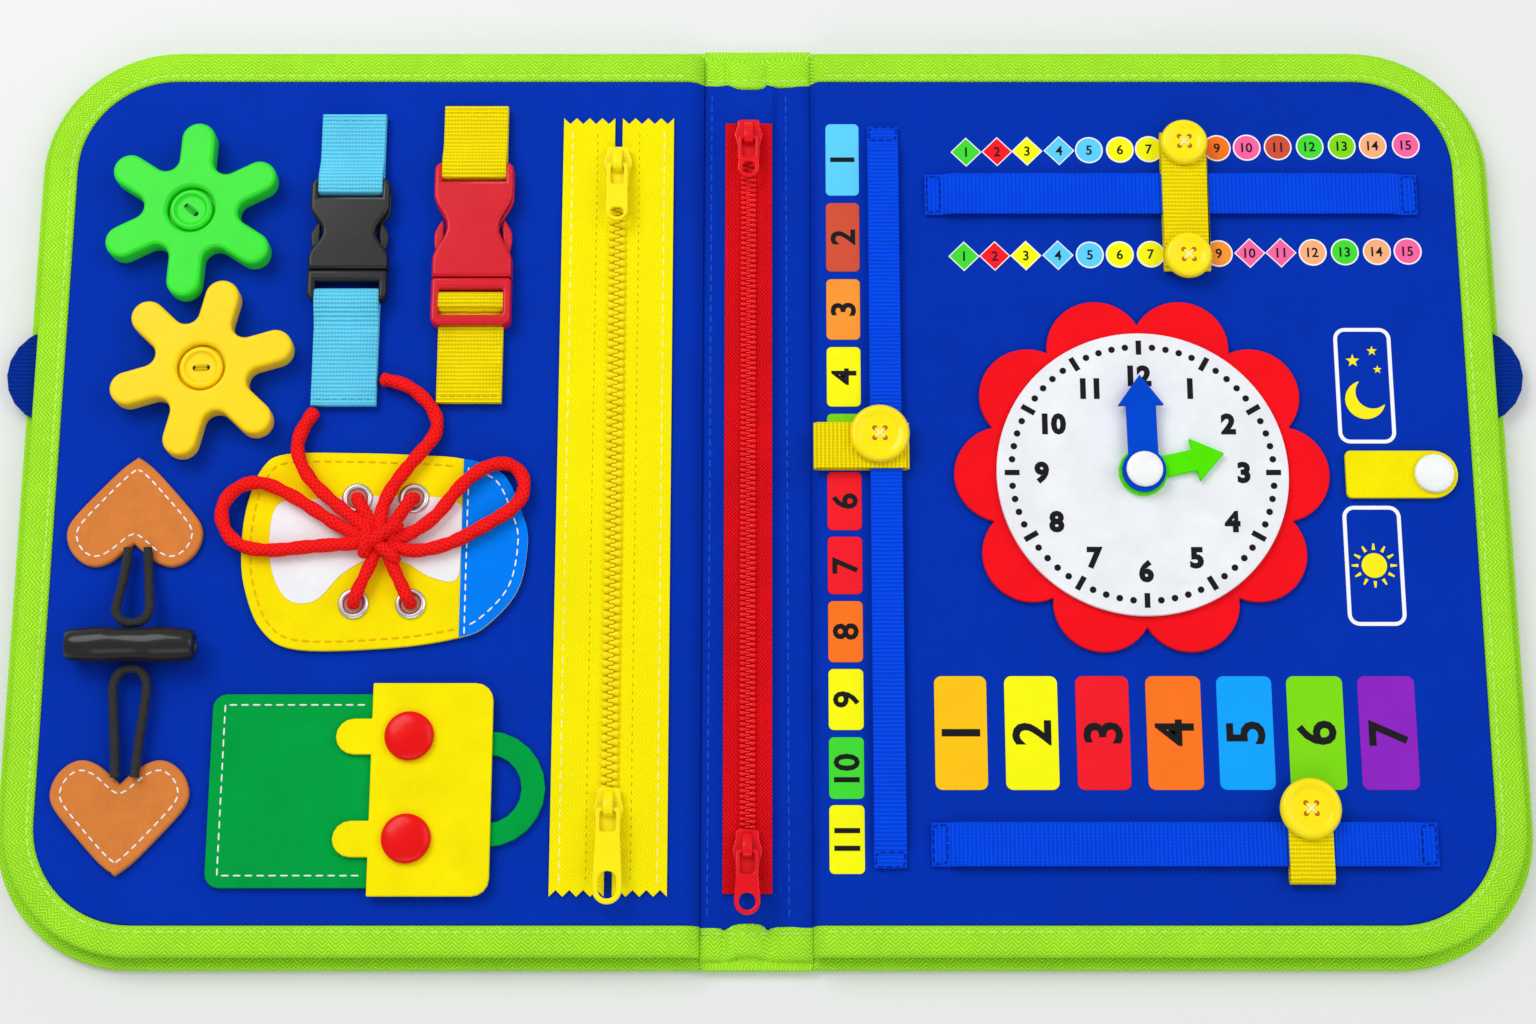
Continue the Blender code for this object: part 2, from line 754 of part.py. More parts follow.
black = (0.012, 0.012, 0.014)
red = (0.62, 0.02, 0.02)
pale_blue = (0.25, 0.62, 0.85)
bars = buckle("black_buckle", black_x, black_mouth_y, buckle_socket_long, black, buckle_slot, buckle_bar,
              0, 0)
strap("blue_strap_upper", black_x, blue_top_y, bars[0], bars[1], pale_blue)
strap("blue_strap_lower", black_x, blue_end_y, bars[3], bars[2], pale_blue)
bars = buckle("red_buckle", red_x, red_mouth_y, buckle_socket_long + red_extra_long, red, red_clip_slot,
              red_clip_bar, red_rail_gap, red_rail_wide)
strap("yellow_strap_upper", red_x, yellow_top_y, bars[0], bars[1], yellow)
strap("yellow_strap_lower", red_x, yellow_end_y, bars[3], bars[2], yellow, red_rail_gap - strap_thick / 2,
      red_rail_gap + red_rail_wide / 2)


# Lacing patch: a shoe outline with four eyelets
patch_shares = ((-0.68, 0.99), (-0.20, 1.00), (0.20, 0.98), (0.53, 0.94), (0.80, 0.78), (0.94, 0.37),
                (0.98, 0.08), (0.92, -0.40), (0.72, -0.75), (0.53, -0.88), (0.09, -0.98),
                (-0.55, -1.00), (-0.80, -0.80), (-0.93, -0.36), (-0.96, 0.07), (-0.93, 0.50),
                (-0.84, 0.85))
patch_points = [Vector((patch_x + across * patch_half_x, patch_y + up * patch_half_y, 0))
                for across, up in patch_shares]
patch_line = smooth([patch_points[-1], *patch_points, patch_points[0]], 2)[2:-1]
eyelets = [(across, up) for across in (eyelet_left_x, eyelet_right_x)
           for up in (eyelet_high_y, eyelet_low_y)]
patch_top = on_page + patch_thick
eyelet_high = patch_top + eyelet_proud
clear_r = (eyelet_r + eyelet_bore_r) / 2
patch = keep("lacing_patch",
             flat([[(point.x, point.y) for point in patch_line],
                   *[circle(across, up, clear_r, 8) for across, up in eyelets]],
                  on_page, patch_top), blue)
eyelet_round = eyelet_proud / 3
for across, up in eyelets:
    ring = [[(across + radius * cos(turn), up + radius * sin(turn), height)
             for radius, height in ((eyelet_bore_r, on_page + eyelet_round),
                                    (eyelet_bore_r, eyelet_high - eyelet_round),
                                    (eyelet_bore_r + eyelet_round, eyelet_high),
                                    (eyelet_r, eyelet_high - eyelet_round),
                                    (eyelet_r, on_page + eyelet_round))]
            for turn in [2 * pi * step / (small_round_steps - 1) for step in range(small_round_steps - 1)]]
    work = bmesh.new()
    rows = [[work.verts.new(point) for point in row] for row in ring]
    for first, second in zip(rows, rows[1:] + rows[:1]):
        for step in range(len(first)):
            after = (step + 1) % len(first)
            work.faces.new((first[step], first[after], second[after], second[step]))
    bmesh.ops.recalc_face_normals(work, faces=work.faces)
    mesh = bpy.data.meshes.new("eyelet")
    work.to_mesh(mesh)
    work.free()
    boolean(patch, mesh, "UNION")

# Lace: one red braid through the eyelets, tied in a bow over the patch
lace_red = (0.66, 0.02, 0.03)
lie = patch_top + touch_gap + lace_r
over = eyelet_high + touch_gap + lace_r
knot_z = lie + lace_r
page_lie = on_page + touch_gap + lace_r
knot_at = Vector((-0.1386, -0.0220, knot_z))
left_loop = ((-0.1400, -0.0214, knot_z), (-0.1470, -0.0195, lie), (-0.1536, -0.0163, lie),
             (-0.1618, -0.0111, lie), (-0.1722, -0.0044, lie), (-0.1855, 0.0009, lie),
             (-0.1955, -0.0050, lie), (-0.1972, -0.0133, lie), (-0.1915, -0.0226, lie),
             (-0.1796, -0.0252, lie), (-0.1652, -0.0237, lie), (-0.1500, -0.0226, lie),
             (-0.1400, -0.0224, knot_z))
right_loop = ((-0.1376, -0.0214, knot_z), (-0.1303, -0.0200, lie), (-0.1190, -0.0122, lie),
              (-0.1117, -0.0021, lie), (-0.1021, 0.0061, lie), (-0.0924, 0.0080, page_lie),
              (-0.0871, 0.0009, page_lie), (-0.0898, -0.0081, lie), (-0.0998, -0.0148, lie),
              (-0.1140, -0.0226, lie), (-0.1280, -0.0255, lie), (-0.1376, -0.0228, knot_z))
left_tail = ((-0.1400, -0.0206, knot_z), (-0.1480, -0.0140, over), (-0.1583, -0.0058, over),
             (-0.1667, 0.0030, over), (-0.1708, 0.0125, lie), (-0.1696, 0.0205, page_lie),
             (-0.1646, 0.0286, page_lie))
right_tail = ((-0.1386, -0.0205, knot_z), (-0.1392, -0.0103, lie), (-0.1346, -0.0002, lie),
              (-0.1240, 0.0135, lie), (-0.1198, 0.0195, page_lie), (-0.1200, 0.0255, page_lie),
              (-0.1245, 0.0320, page_lie), (-0.1320, 0.0380, page_lie), (-0.1417, 0.0401, page_lie))
dip = patch_top - touch_gap
knot_mesh = bmesh.new()
bmesh.ops.create_uvsphere(knot_mesh, u_segments=14, v_segments=8, radius=1)
mesh = bpy.data.meshes.new("lace")
knot_mesh.to_mesh(mesh)
knot_mesh.free()
mesh.transform(Matrix.Diagonal((knot_half_x, knot_half_y, knot_half_z, 1)))
mesh.transform(Matrix.Translation(knot_at))
lace = keep("lace", mesh, lace_red, 0.95)
for route in (left_loop, right_loop, left_tail, right_tail):
    boolean(lace, tube([Vector(point) for point in route], lace_r, 1), "UNION", "MANIFOLD")
for across, up in eyelets:
    pull_in = Vector((knot_at.x - across, knot_at.y - up, 0)).normalized()
    start = Vector((across, up, dip))
    rise = start + pull_in * lace_r * 0.8 + Vector((0, 0, over - dip + touch_gap))
    rim = Vector((across, up, over)) + pull_in * eyelet_r
    inner = Vector((knot_at.x, knot_at.y, lie)) - pull_in * knot_half_y / 2
    boolean(lace, tube([start, start + Vector((0, 0, lace_r)), rise, rim, inner], lace_r * 0.92, 1),
            "UNION", "MANIFOLD")


# Hearts, toggle and their two cords
def heart(tip_y, way):
    scale = heart_tall / 29
    found = []
    for step in range(round_steps):
        turn = 2 * pi * step / round_steps
        up = 13 * cos(turn) - 5 * cos(2 * turn) - 2 * cos(3 * turn) - cos(4 * turn)
        found.append((heart_x + heart_half_x * sin(turn) ** 3, tip_y - way * (up + 17) * scale))
    return found


tan = (0.50, 0.26, 0.10)
heart_top = on_page + heart_thick
keep("upper_heart", flat([heart(upper_heart_tip_y, 1)], on_page, heart_top), tan, 0.7)
keep("lower_heart", flat([heart(lower_heart_tip_y, -1)], on_page, heart_top), tan, 0.7)
cord_z = heart_top + touch_gap + cord_r
strand_y = upper_heart_tip_y - heart_tall * 0.84
toggle_z = on_page + touch_gap + toggle_r
toggle_axis = (toggle_x, strand_y, cord_z)
waist_half = toggle_half_x * 0.36
end_round = toggle_r * 0.34
profile = ((0, toggle_half_x), (toggle_r - end_round * 1.6, toggle_half_x),
           (toggle_r - end_round * 0.6, toggle_half_x - end_round * 0.5),
           (toggle_r - end_round * 0.2, toggle_half_x - end_round * 1.5), (toggle_r, waist_half * 1.5),
           (toggle_waist_r, waist_half * 0.9), (toggle_waist_r, -waist_half * 0.9),
           (toggle_r, -waist_half * 1.5), (toggle_r - end_round * 0.2, -toggle_half_x + end_round * 1.5),
           (toggle_r - end_round * 0.6, -toggle_half_x + end_round * 0.5),
           (toggle_r - end_round * 1.6, -toggle_half_x), (0, -toggle_half_x))
keep("toggle", turned(profile, 14, (toggle_x, toggle_y, toggle_z), "x"), black, 0.35, at=toggle_axis)
hug = toggle_waist_r + touch_gap + cord_r
strand = cord_r * 2.4


def cord_loop(start_y, end_y, end_z):
    """Two strands side by side, joined by a bend round the toggle's waist."""
    way = 1 if end_y > start_y else -1
    long = abs(end_y - start_y)
    side = ((0.62, 0, cord_z), (0.80, 0.30, cord_z), (1.00, 0.62, (cord_z + end_z) / 2),
            (0.98, 0.86, end_z), (0.60, 0.97, end_z))
    points = [Vector((toggle_x - strand * wide, start_y + way * long * share, up))
              for wide, share, up in side]
    points.append(Vector((toggle_x, end_y, end_z)))
    points += [Vector((toggle_x + strand * wide, start_y + way * long * share, up))
               for wide, share, up in side[::-1]]
    return tube(smooth(points, 2), cord_r, 1)


keep("toggle_cord", cord_loop(strand_y, toggle_y + hug, toggle_z), black, 0.8, at=toggle_axis)
catch_y = lower_heart_tip_y + heart_tall * 0.84
keep("catch_cord", cord_loop(catch_y, toggle_y - hug, cord_z), black, 0.8)

# Pocket with its handle ring and studs, and the flap with its snap caps
pocket_top = on_page + pocket_thick
corner = pocket_corner
rim = arc(pocket_right_x, arc_y, arc_outer_r, -90, 90, 12)
outer = [(pocket_right_x, pocket_low_y), *rim, (pocket_right_x, pocket_top_y)]
outer += arc(pocket_left_x + corner, pocket_top_y - corner, corner, 90, 180, 4)
outer += arc(pocket_left_x + corner, pocket_low_y + corner, corner, 180, 270, 4)
window = arc(pocket_right_x, arc_y, arc_inner_r, -90, 90, 10)
pocket = keep("pocket", flat([outer, window], on_page, pocket_top), green)
for stud_y in (snap_high_y, snap_low_y):
    stud_high = pocket_top + snap_stud_rise
    neck = snap_stud_r * 0.8
    profile = ((0, stud_high), (neck, stud_high), (snap_stud_r, stud_high - neck / 3),
               (neck, pocket_top + neck / 3), (neck, on_page + pocket_thick / 2),
               (0, on_page + pocket_thick / 2))
    boolean(pocket, turned(profile, small_round_steps, (snap_x, stud_y, 0)), "UNION")
flap_low = pocket_top + touch_gap
flap_top = flap_low + flap_thick
snap_bore = snap_stud_r + snap_bore_clear
hinge_at = (flap_right_x, arc_y, flap_top)
outer = arc(flap_right_x - flap_corner, flap_low_y + flap_corner, flap_corner, -90, 0, 4)
outer += arc(flap_right_x - flap_corner, flap_top_y - flap_corner, flap_corner, 0, 90, 4)
outer.append((flap_left_x, flap_top_y))
for tab_y in (snap_high_y, snap_low_y):
    outer.append((flap_left_x, tab_y + tab_half))
    outer += arc(flap_left_x - tab_long + tab_half, tab_y, tab_half, 90, 270, 8)
    outer.append((flap_left_x, tab_y - tab_half))
outer.append((flap_left_x, flap_low_y))
bores = [circle(snap_x, stud_y, snap_bore, small_round_steps) for stud_y in (snap_high_y, snap_low_y)]
keep("pocket_flap", flat([outer, *bores], flap_low, flap_top), yellow, at=hinge_at)
for name, stud_y in (("snap_cap_upper", snap_high_y), ("snap_cap_lower", snap_low_y)):
    low = flap_top + touch_gap
    high = low + snap_cap_thick
    bore_top = low + (high - low) / 2
    edge = snap_cap_thick / 4
    profile = ((0, high), (snap_cap_r - edge * 4, high - edge / 4), (snap_cap_r - edge, high - edge),
               (snap_cap_r, high - edge * 2), (snap_cap_r, low), (snap_bore, low),
               (snap_bore, bore_top), (0, bore_top))
    keep(name, turned(profile, 18, (snap_x, stud_y, 0)), red, 0.35, at=hinge_at)


# Zips
def stringer(name, centre_x, side, half, low_y, high_y, floor, chain_low, chain_high, colours):
    """One tape of a zip with its row of teeth, which interlock with the other row."""
    tape_low = floor + touch_gap
    hem = (bead_near + bead_far) / 2
    pinks = max(2, round((half - hem) / (tooth_pitch * 1.2)))
    step_x = (half - hem) / pinks
    notch = step_x / 2
    top = []
    low = []
    for pink in range(pinks):
        start = hem + pink * step_x
        top += [(start, high_y - notch), (start + step_x / 2, high_y)]
        low += [(start, low_y + notch), (start + step_x / 2, low_y)]
    top.append((half, high_y - notch))
    low.append((half, low_y + notch))
    outline = [(centre_x + side * across, up) for across, up in low + top[::-1]]
    tape = keep(name, flat([outline], tape_low, tape_low + tape_thick), colours)
    count = int((chain_high - chain_low) / tooth_pitch)
    comb = [(bead_far, chain_low), (bead_near, chain_low)]
    head = (tooth_pitch / 2 - touch_gap) / 2
    for tooth in range(count):
        middle = chain_low + tooth_pitch * (tooth + 0.5 + side * 0.25)
        root = bead_near - touch_gap * (tooth % 2) / 3
        comb += [(root, middle - head * 0.7), (-tooth_reach, middle - head),
                 (-tooth_reach, middle + head), (root, middle + head * 0.7)]
    comb += [(bead_near, chain_high), (bead_far, chain_high)]
    chain = flat([comb], tape_low + tape_thick / 3, tape_low + chain_thick)
    if side < 0:
        chain.transform(Matrix.Diagonal((-1, 1, 1, 1)))
        chain.flip_normals()
    chain.transform(Matrix.Translation((centre_x, 0, 0)))
    boolean(tape, chain, "UNION", "MANIFOLD")


def slider(name, pull_name, centre_x, centre_y, floor, pull_long, colour):
    """A slider body over the chain, with a lug that its pull swings in."""
    wall_low = floor + tape_thick + touch_gap * 2
    plate_low = floor + chain_thick + touch_gap * 2
    plate_high = plate_low + slider_plate
    half = slider_long / 2
    side = [(slider_tail_half, -half), (slider_tail_half, -half / 3), (slider_half_x, half / 3),
            (slider_half_x, half * 0.8), (slider_tail_half, half)]
    outline = [(centre_x + across, centre_y + up) for across, up in side]
    outline += [(centre_x - across, centre_y + up) for across, up in side[::-1]]
    body = keep(name, flat([outline], wall_low, plate_high), colour, 0.5,
                at=(centre_x, centre_y, wall_low))
    room = bead_far + touch_gap
    boolean(body, block((centre_x - room, centre_y - half - cut_overrun, wall_low - cut_overrun),
                        (centre_x + room, centre_y + half + cut_overrun, plate_low)))
    pin_z = plate_high + lug_height - lug_bore_r * 1.45
    lug = [(centre_y - lug_half_y, plate_low + slider_plate / 2),
           (centre_y + lug_half_y, plate_low + slider_plate / 2),
           (centre_y + lug_half_y, pin_z),
           *arc(centre_y, pin_z, lug_bore_r * 1.45, 0, 180, 4),
           (centre_y - lug_half_y, pin_z)]
    boolean(body, flat([lug], centre_x - lug_half_x, centre_x + lug_half_x, "x"), "UNION")
    boolean(body, drum(lug_bore_r, centre_x - lug_half_x - cut_overrun,
                       centre_x + lug_half_x + cut_overrun, (centre_y, pin_z), 8, "x"))
    bar = pull_thick / 2
    far = pull_long - bar
    side = [(pull_neck_half, bar), (pull_neck_half, -bar - pull_window * 1.2), (pull_half, -far * 0.62),
            (pull_half, -far + pull_half / 2), (pull_half / 2, -far)]
    outline = [(centre_x + across, centre_y + up) for across, up in side]
    outline += [(centre_x - across, centre_y + up) for across, up in side[::-1]]
    inside = lug_half_x + pull_side_clear
    window = [(centre_x - inside, centre_y - bar), (centre_x + inside, centre_y - bar),
              (centre_x + inside, centre_y - bar - pull_window),
              (centre_x - inside, centre_y - bar - pull_window)]
    hole_y = centre_y - far + pull_half
    hole = circle(centre_x, hole_y, pull_hole_half, 8)
    keep(pull_name, flat([outline, window, hole], pin_z - bar, pin_z + bar), colour, 0.5,
         at=(centre_x, centre_y, pin_z))


for zip_name, centre_x, half, low_y, high_y, floor, slide_low, slide_high, short, long, colour in (
        ("yellow", yzip_x, yzip_half, yzip_low_y, yzip_top_y, page_top, yslider_low_y, yslider_high_y,
         ypull_short, ypull_long, yellow),
        ("red", rzip_x, rzip_half, rzip_low_y, rzip_top_y, zip_floor, rslider_low_y, rslider_high_y,
         rpull_short, rpull_long, red)):
    chain_low = slide_low - slider_long / 2
    chain_high = slide_high + slider_long / 2
    for side_name, side in (("left", -1), ("right", 1)):
        stringer(zip_name + "_zip_" + side_name, centre_x, side, half, low_y, high_y, floor,
                 chain_low, chain_high, colour)
    slider(zip_name + "_slider_upper", zip_name + "_pull_upper", centre_x, slide_high, floor, short,
           colour)
    slider(zip_name + "_slider_lower", zip_name + "_pull_lower", centre_x, slide_low, floor, long,
           colour)


# Webbing tracks with a sliding pointer round each
layer_low = on_page
slot_low = layer_low + pointer_layer
web_low = slot_low + pointer_clear
web_mid = web_low + web_thick / 2
slot_high = web_low + web_thick + pointer_clear
pointer_high = slot_high + pointer_layer
web_rest = on_page + web_thick / 2


def track(name, start, end, low, high, along, colour):
    """Webbing sewn down at its two ends and raised between them."""
    path = [(start, web_rest), (start + track_foot, web_rest), (start + track_foot + track_ramp, web_mid),
            (end - track_foot - track_ramp, web_mid), (end - track_foot, web_rest), (end, web_rest)]
    keep(name, flat([ribbon(path, web_thick)], low, high, along), colour)


def button_mesh(centre_x, centre_y, radius, low):
    high = low + pointer_button_thick
    rim = pointer_button_rim
    profile = ((0, high - rim), (radius - rim * 4, high - rim), (radius - rim * 3, high),
               (radius - rim, high), (radius, high - rim), (radius, low + rim), (radius - rim, low),
               (0, low))
    return turned(profile, 16, (centre_x, centre_y, 0))


def pointer(name, low, high, slot_start, slot_end, half_low, half_high, along, buttons, colour):
    """A strap folded round the webbing, with its buttons sewn on top."""
    ends = pointer_high - layer_low
    bend = ends / 3
    shape = [(low + bend, layer_low), (high - bend, layer_low), (high, layer_low + bend),
             (high, pointer_high - bend), (high - bend, pointer_high), (low + bend, pointer_high),
             (low, pointer_high - bend), (low, layer_low + bend)]
    slot = [(slot_start, slot_low), (slot_end, slot_low), (slot_end, slot_high), (slot_start, slot_high)]
    at = (buttons[0][0], buttons[0][1], layer_low)
    part = keep(name, flat([shape, slot], half_low, half_high, along), colour, at=at)
    for centre_x, centre_y, radius in buttons:
        boolean(part, button_mesh(centre_x, centre_y, radius, pointer_high - pointer_button_rim / 2),
                "UNION")
        spread = radius * 0.24
        for side_x, side_y in ((-1, -1), (-1, 1), (1, -1), (1, 1)):
            spot = (centre_x + side_x * spread, centre_y + side_y * spread)
            boolean(part, drum(button_hole_r, pointer_high, pointer_high + pointer_button_thick
                               + cut_overrun, spot, 6))


track("month_webbing", month_web_low_y, month_web_high_y, month_web_x - month_web_half,
      month_web_x + month_web_half, "x", blue)
track("number_webbing", number_web_left_x, number_web_right_x, number_web_y - number_web_half,
      number_web_y + number_web_half, "y", blue)
track("day_webbing", day_web_left_x, day_web_right_x, day_web_y - day_web_half,
      day_web_y + day_web_half, "y", blue)
beside = pointer_side
far = pointer_side + pointer_layer
pointer("month_pointer", month_pointer_left_x, month_web_x + month_web_half + far,
        month_web_x - month_web_half - beside, month_web_x + month_web_half + beside,
        month_pointer_y - month_pointer_half, month_pointer_y + month_pointer_half, "y",
        [(month_button_x, month_button_y, big_button_r)], yellow)
pointer("number_pointer", number_button_low_y - number_pointer_tail,
        number_button_high_y + number_pointer_tail, number_web_y - number_web_half - beside,
        number_web_y + number_web_half + beside, number_pointer_x - number_pointer_half,
        number_pointer_x + number_pointer_half, "x",
        [(number_pointer_x, number_button_high_y, number_button_r),
         (number_pointer_x, number_button_low_y, number_button_r)], yellow)
pointer("day_pointer", day_pointer_low_y, day_button_y + big_button_r / 2,
        day_web_y - day_web_half - beside, day_web_y + day_web_half + beside,
        day_pointer_x - day_pointer_half, day_pointer_x + day_pointer_half, "x",
        [(day_pointer_x, day_button_y, big_button_r)], yellow)

# Clock: flower, face, hands and the pin through them
flower_high = on_page + flower_thick
face_low = flower_high + touch_gap
face_high = face_low + face_thick
clock_bore = clock_pin_r + clock_bore_clear
half_pitch = radians(180 / petal_count)
chord = petal_centre_r * sin(half_pitch)
valley_r = petal_centre_r * cos(half_pitch) + sqrt(petal_r ** 2 - chord ** 2)
reach = atan2(valley_r * sin(half_pitch), valley_r * cos(half_pitch) - petal_centre_r) * 180 / pi
petals = []
for petal in range(petal_count):
    angle = petal * 360 / petal_count
    petal_x = clock_x + petal_centre_r * cos(radians(angle))
    petal_y = clock_y + petal_centre_r * sin(radians(angle))
    petals += arc(petal_x, petal_y, petal_r, angle - reach, angle + reach, petal_steps)[:-1]
bore = circle(clock_x, clock_y, clock_bore, small_round_steps)
clock_at = (clock_x, clock_y, on_page)
keep("clock_flower", flat([petals, bore], on_page, flower_high), red, at=clock_at)
keep("clock_face", flat([circle(clock_x, clock_y, face_r, 48), bore], face_low, face_high),
     (0.85, 0.85, 0.83), at=clock_at)


def hand(name, low, hub_r, long, shaft_half, head_long, angle, colour):
    """An arrow that turns on the clock's pin."""
    neck = sqrt(hub_r ** 2 - shaft_half ** 2)
    open_angle = asin(shaft_half / hub_r) * 180 / pi
    shape = [(neck, -shaft_half), (long - head_long, -shaft_half), (long - head_long, -hand_head_half),
             (long, 0), (long - head_long, hand_head_half), (long - head_long, shaft_half)]
    shape += arc(0, 0, hub_r, open_angle, 360 - open_angle, 14)[:-1]
    turn = Matrix.Rotation(radians(angle), 2)
    placed = [turn @ Vector(point) for point in shape]
    placed = [(clock_x + point.x, clock_y + point.y) for point in placed]
    part = keep(name, flat([placed, bore], low, low + hand_thick), colour, 0.95,
                at=(clock_x, clock_y, low))
    return part


hour_low = face_high + touch_gap
minute_low = hour_low + hand_thick + touch_gap
cap_low = minute_low + hand_thick + touch_gap
hand("hour_hand", hour_low, hour_hub_r, hour_long, hour_shaft_half, hour_head, hour_angle, green)
hand("minute_hand", minute_low, minute_hub_r, minute_long, minute_shaft_half, minute_head,
     minute_angle, blue)


def cap_pin(name, centre_x, centre_y, pin_r, cap_r, low, cap_thick, at):
    """A pin that stands on the page under a round cap."""
    edge = cap_thick / 3
    profile = ((0, low + cap_thick), (cap_r - edge * 2, low + cap_thick),
               (cap_r - edge * 0.4, low + cap_thick - edge * 0.7), (cap_r, low + edge), (cap_r, low),
               (pin_r, low), (pin_r, on_page), (0, on_page))
    keep(name, turned(profile, 16, (centre_x, centre_y, 0)), (0.82, 0.82, 0.80), 0.4, at=at)


cap_pin("clock_pin", clock_x, clock_y, clock_pin_r, clock_cap_r, cap_low, clock_cap_thick, clock_at)

# Swinging pointer and the cap that it turns on
swing_at = (swing_x, swing_y, on_page)
corner = swing_half * 0.2
shape = arc(swing_x, swing_y, swing_half, -90, 90, 12)
shape += arc(swing_x - swing_left + corner, swing_y + swing_half - corner, corner, 90, 180, 3)
shape += arc(swing_x - swing_left + corner, swing_y - swing_half + corner, corner, 180, 270, 3)
bore = circle(swing_x, swing_y, swing_pin_r + clock_bore_clear, small_round_steps)
keep("am_pm_pointer", flat([shape, bore], on_page, on_page + swing_thick), yellow, at=swing_at)
cap_pin("am_pm_pin", swing_x, swing_y, swing_pin_r, swing_cap_r, on_page + swing_thick + touch_gap,
        swing_cap_thick, swing_at)
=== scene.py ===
"""Looks of the activity book: soft pieces, stitching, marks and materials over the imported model."""
import json
from math import ceil, cos, exp, hypot, pi, radians, sin, sqrt

import bmesh
import bpy
from mathutils import Matrix, Vector, noise

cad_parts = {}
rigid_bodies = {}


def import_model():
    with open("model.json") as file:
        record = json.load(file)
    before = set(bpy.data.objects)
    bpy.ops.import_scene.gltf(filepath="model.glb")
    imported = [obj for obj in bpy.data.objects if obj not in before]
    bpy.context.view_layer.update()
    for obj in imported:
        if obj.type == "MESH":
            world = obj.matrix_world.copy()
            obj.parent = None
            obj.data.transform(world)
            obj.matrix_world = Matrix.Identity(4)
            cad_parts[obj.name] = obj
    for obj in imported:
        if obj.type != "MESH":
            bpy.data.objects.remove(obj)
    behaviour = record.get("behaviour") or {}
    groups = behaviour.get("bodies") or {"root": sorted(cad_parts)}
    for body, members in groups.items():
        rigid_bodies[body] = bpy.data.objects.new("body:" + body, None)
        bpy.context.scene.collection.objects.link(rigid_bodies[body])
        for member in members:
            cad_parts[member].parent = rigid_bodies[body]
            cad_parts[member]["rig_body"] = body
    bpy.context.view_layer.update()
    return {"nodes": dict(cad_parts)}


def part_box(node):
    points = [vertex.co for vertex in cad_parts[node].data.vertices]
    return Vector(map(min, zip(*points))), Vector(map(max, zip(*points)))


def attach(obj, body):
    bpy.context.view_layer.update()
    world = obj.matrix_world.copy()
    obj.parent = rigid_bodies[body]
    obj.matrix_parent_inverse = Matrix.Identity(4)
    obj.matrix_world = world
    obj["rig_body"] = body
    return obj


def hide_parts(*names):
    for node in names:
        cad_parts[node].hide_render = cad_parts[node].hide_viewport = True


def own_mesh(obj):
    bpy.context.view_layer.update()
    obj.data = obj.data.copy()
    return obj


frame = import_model()
scene = bpy.context.scene


# Materials
def tree_of(name):
    made = bpy.data.materials.new(name)
    made.use_nodes = True
    return made, made.node_tree, made.node_tree.nodes["Principled BSDF"]


def put(node, values):
    """Sets a shader node's unlinked sockets."""
    for socket, value in values.items():
        node.inputs[socket].default_value = value


def add(tree, kind, links=(), **values):
    """One shader node with its settings, socket values and incoming links."""
    made = tree.nodes.new("ShaderNode" + kind)
    for key, value in values.items():
        if key in made.inputs:
            made.inputs[key].default_value = value
        else:
            setattr(made, key, value)
    for socket, source in links:
        tree.links.new(source, made.inputs[socket])
    return made


def maths(tree, operation, a, b=0.0):
    made = tree.nodes.new("ShaderNodeMath")
    made.operation = operation
    for place, value in ((0, a), (1, b)):
        if isinstance(value, (int, float)):
            made.inputs[place].default_value = value
        else:
            tree.links.new(value, made.inputs[place])
    return made.outputs[0]


def place(tree, turn=0.0, uv=False):
    """X, Y and Z in metres of the book's own frame, turned about Z, or along and around a tube."""
    where = add(tree, "TexCoord").outputs["UV" if uv else "Object"]
    if turn:
        where = add(tree, "Mapping", [("Vector", where)], Rotation=(0, 0, turn)).outputs[0]
    split = add(tree, "SeparateXYZ", [("Vector", where)])
    return where, split.outputs[0], split.outputs[1]


def wave(tree, value, pitch):
    return maths(tree, "SINE", maths(tree, "MULTIPLY", value, 2 * pi / pitch))


def weave(tree, kind, pitch, turn, uv):
    """The height of a woven, ribbed, twilled, braided or chevron surface, from 0 to 1."""
    where, along, across = place(tree, turn, uv)
    drift = add(tree, "TexNoise", [("Vector", where)], Scale=0.3 / pitch, Detail=1.0)
    wander = pitch * (0.2 if kind == "ribs" else 1.1)
    along = maths(tree, "ADD", along, maths(tree, "MULTIPLY", drift.outputs[0], wander))
    if kind == "plain":
        raised = maths(tree, "MULTIPLY", wave(tree, along, pitch), wave(tree, across, pitch))
    elif kind == "ribs":
        fine = wave(tree, across, pitch * 0.8)
        raised = maths(tree, "ADD", wave(tree, along, pitch), maths(tree, "MULTIPLY", fine, 0.35))
    elif kind == "twill":
        slanted = maths(tree, "ADD", along, maths(tree, "MULTIPLY", across, 0.6))
        fine = maths(tree, "MULTIPLY", wave(tree, across, pitch * 0.7), 0.4)
        raised = maths(tree, "ADD", wave(tree, slanted, pitch), fine)
    elif kind == "chevron":
        folded = maths(tree, "PINGPONG", along, pitch * 1.6)
        raised = wave(tree, maths(tree, "ADD", folded, across), pitch)
    else:
        one = wave(tree, maths(tree, "ADD", along, across), pitch)
        other = wave(tree, maths(tree, "SUBTRACT", along, across), pitch)
        raised = maths(tree, "MAXIMUM", one, other)
    return maths(tree, "MULTIPLY_ADD", raised, 0.5)


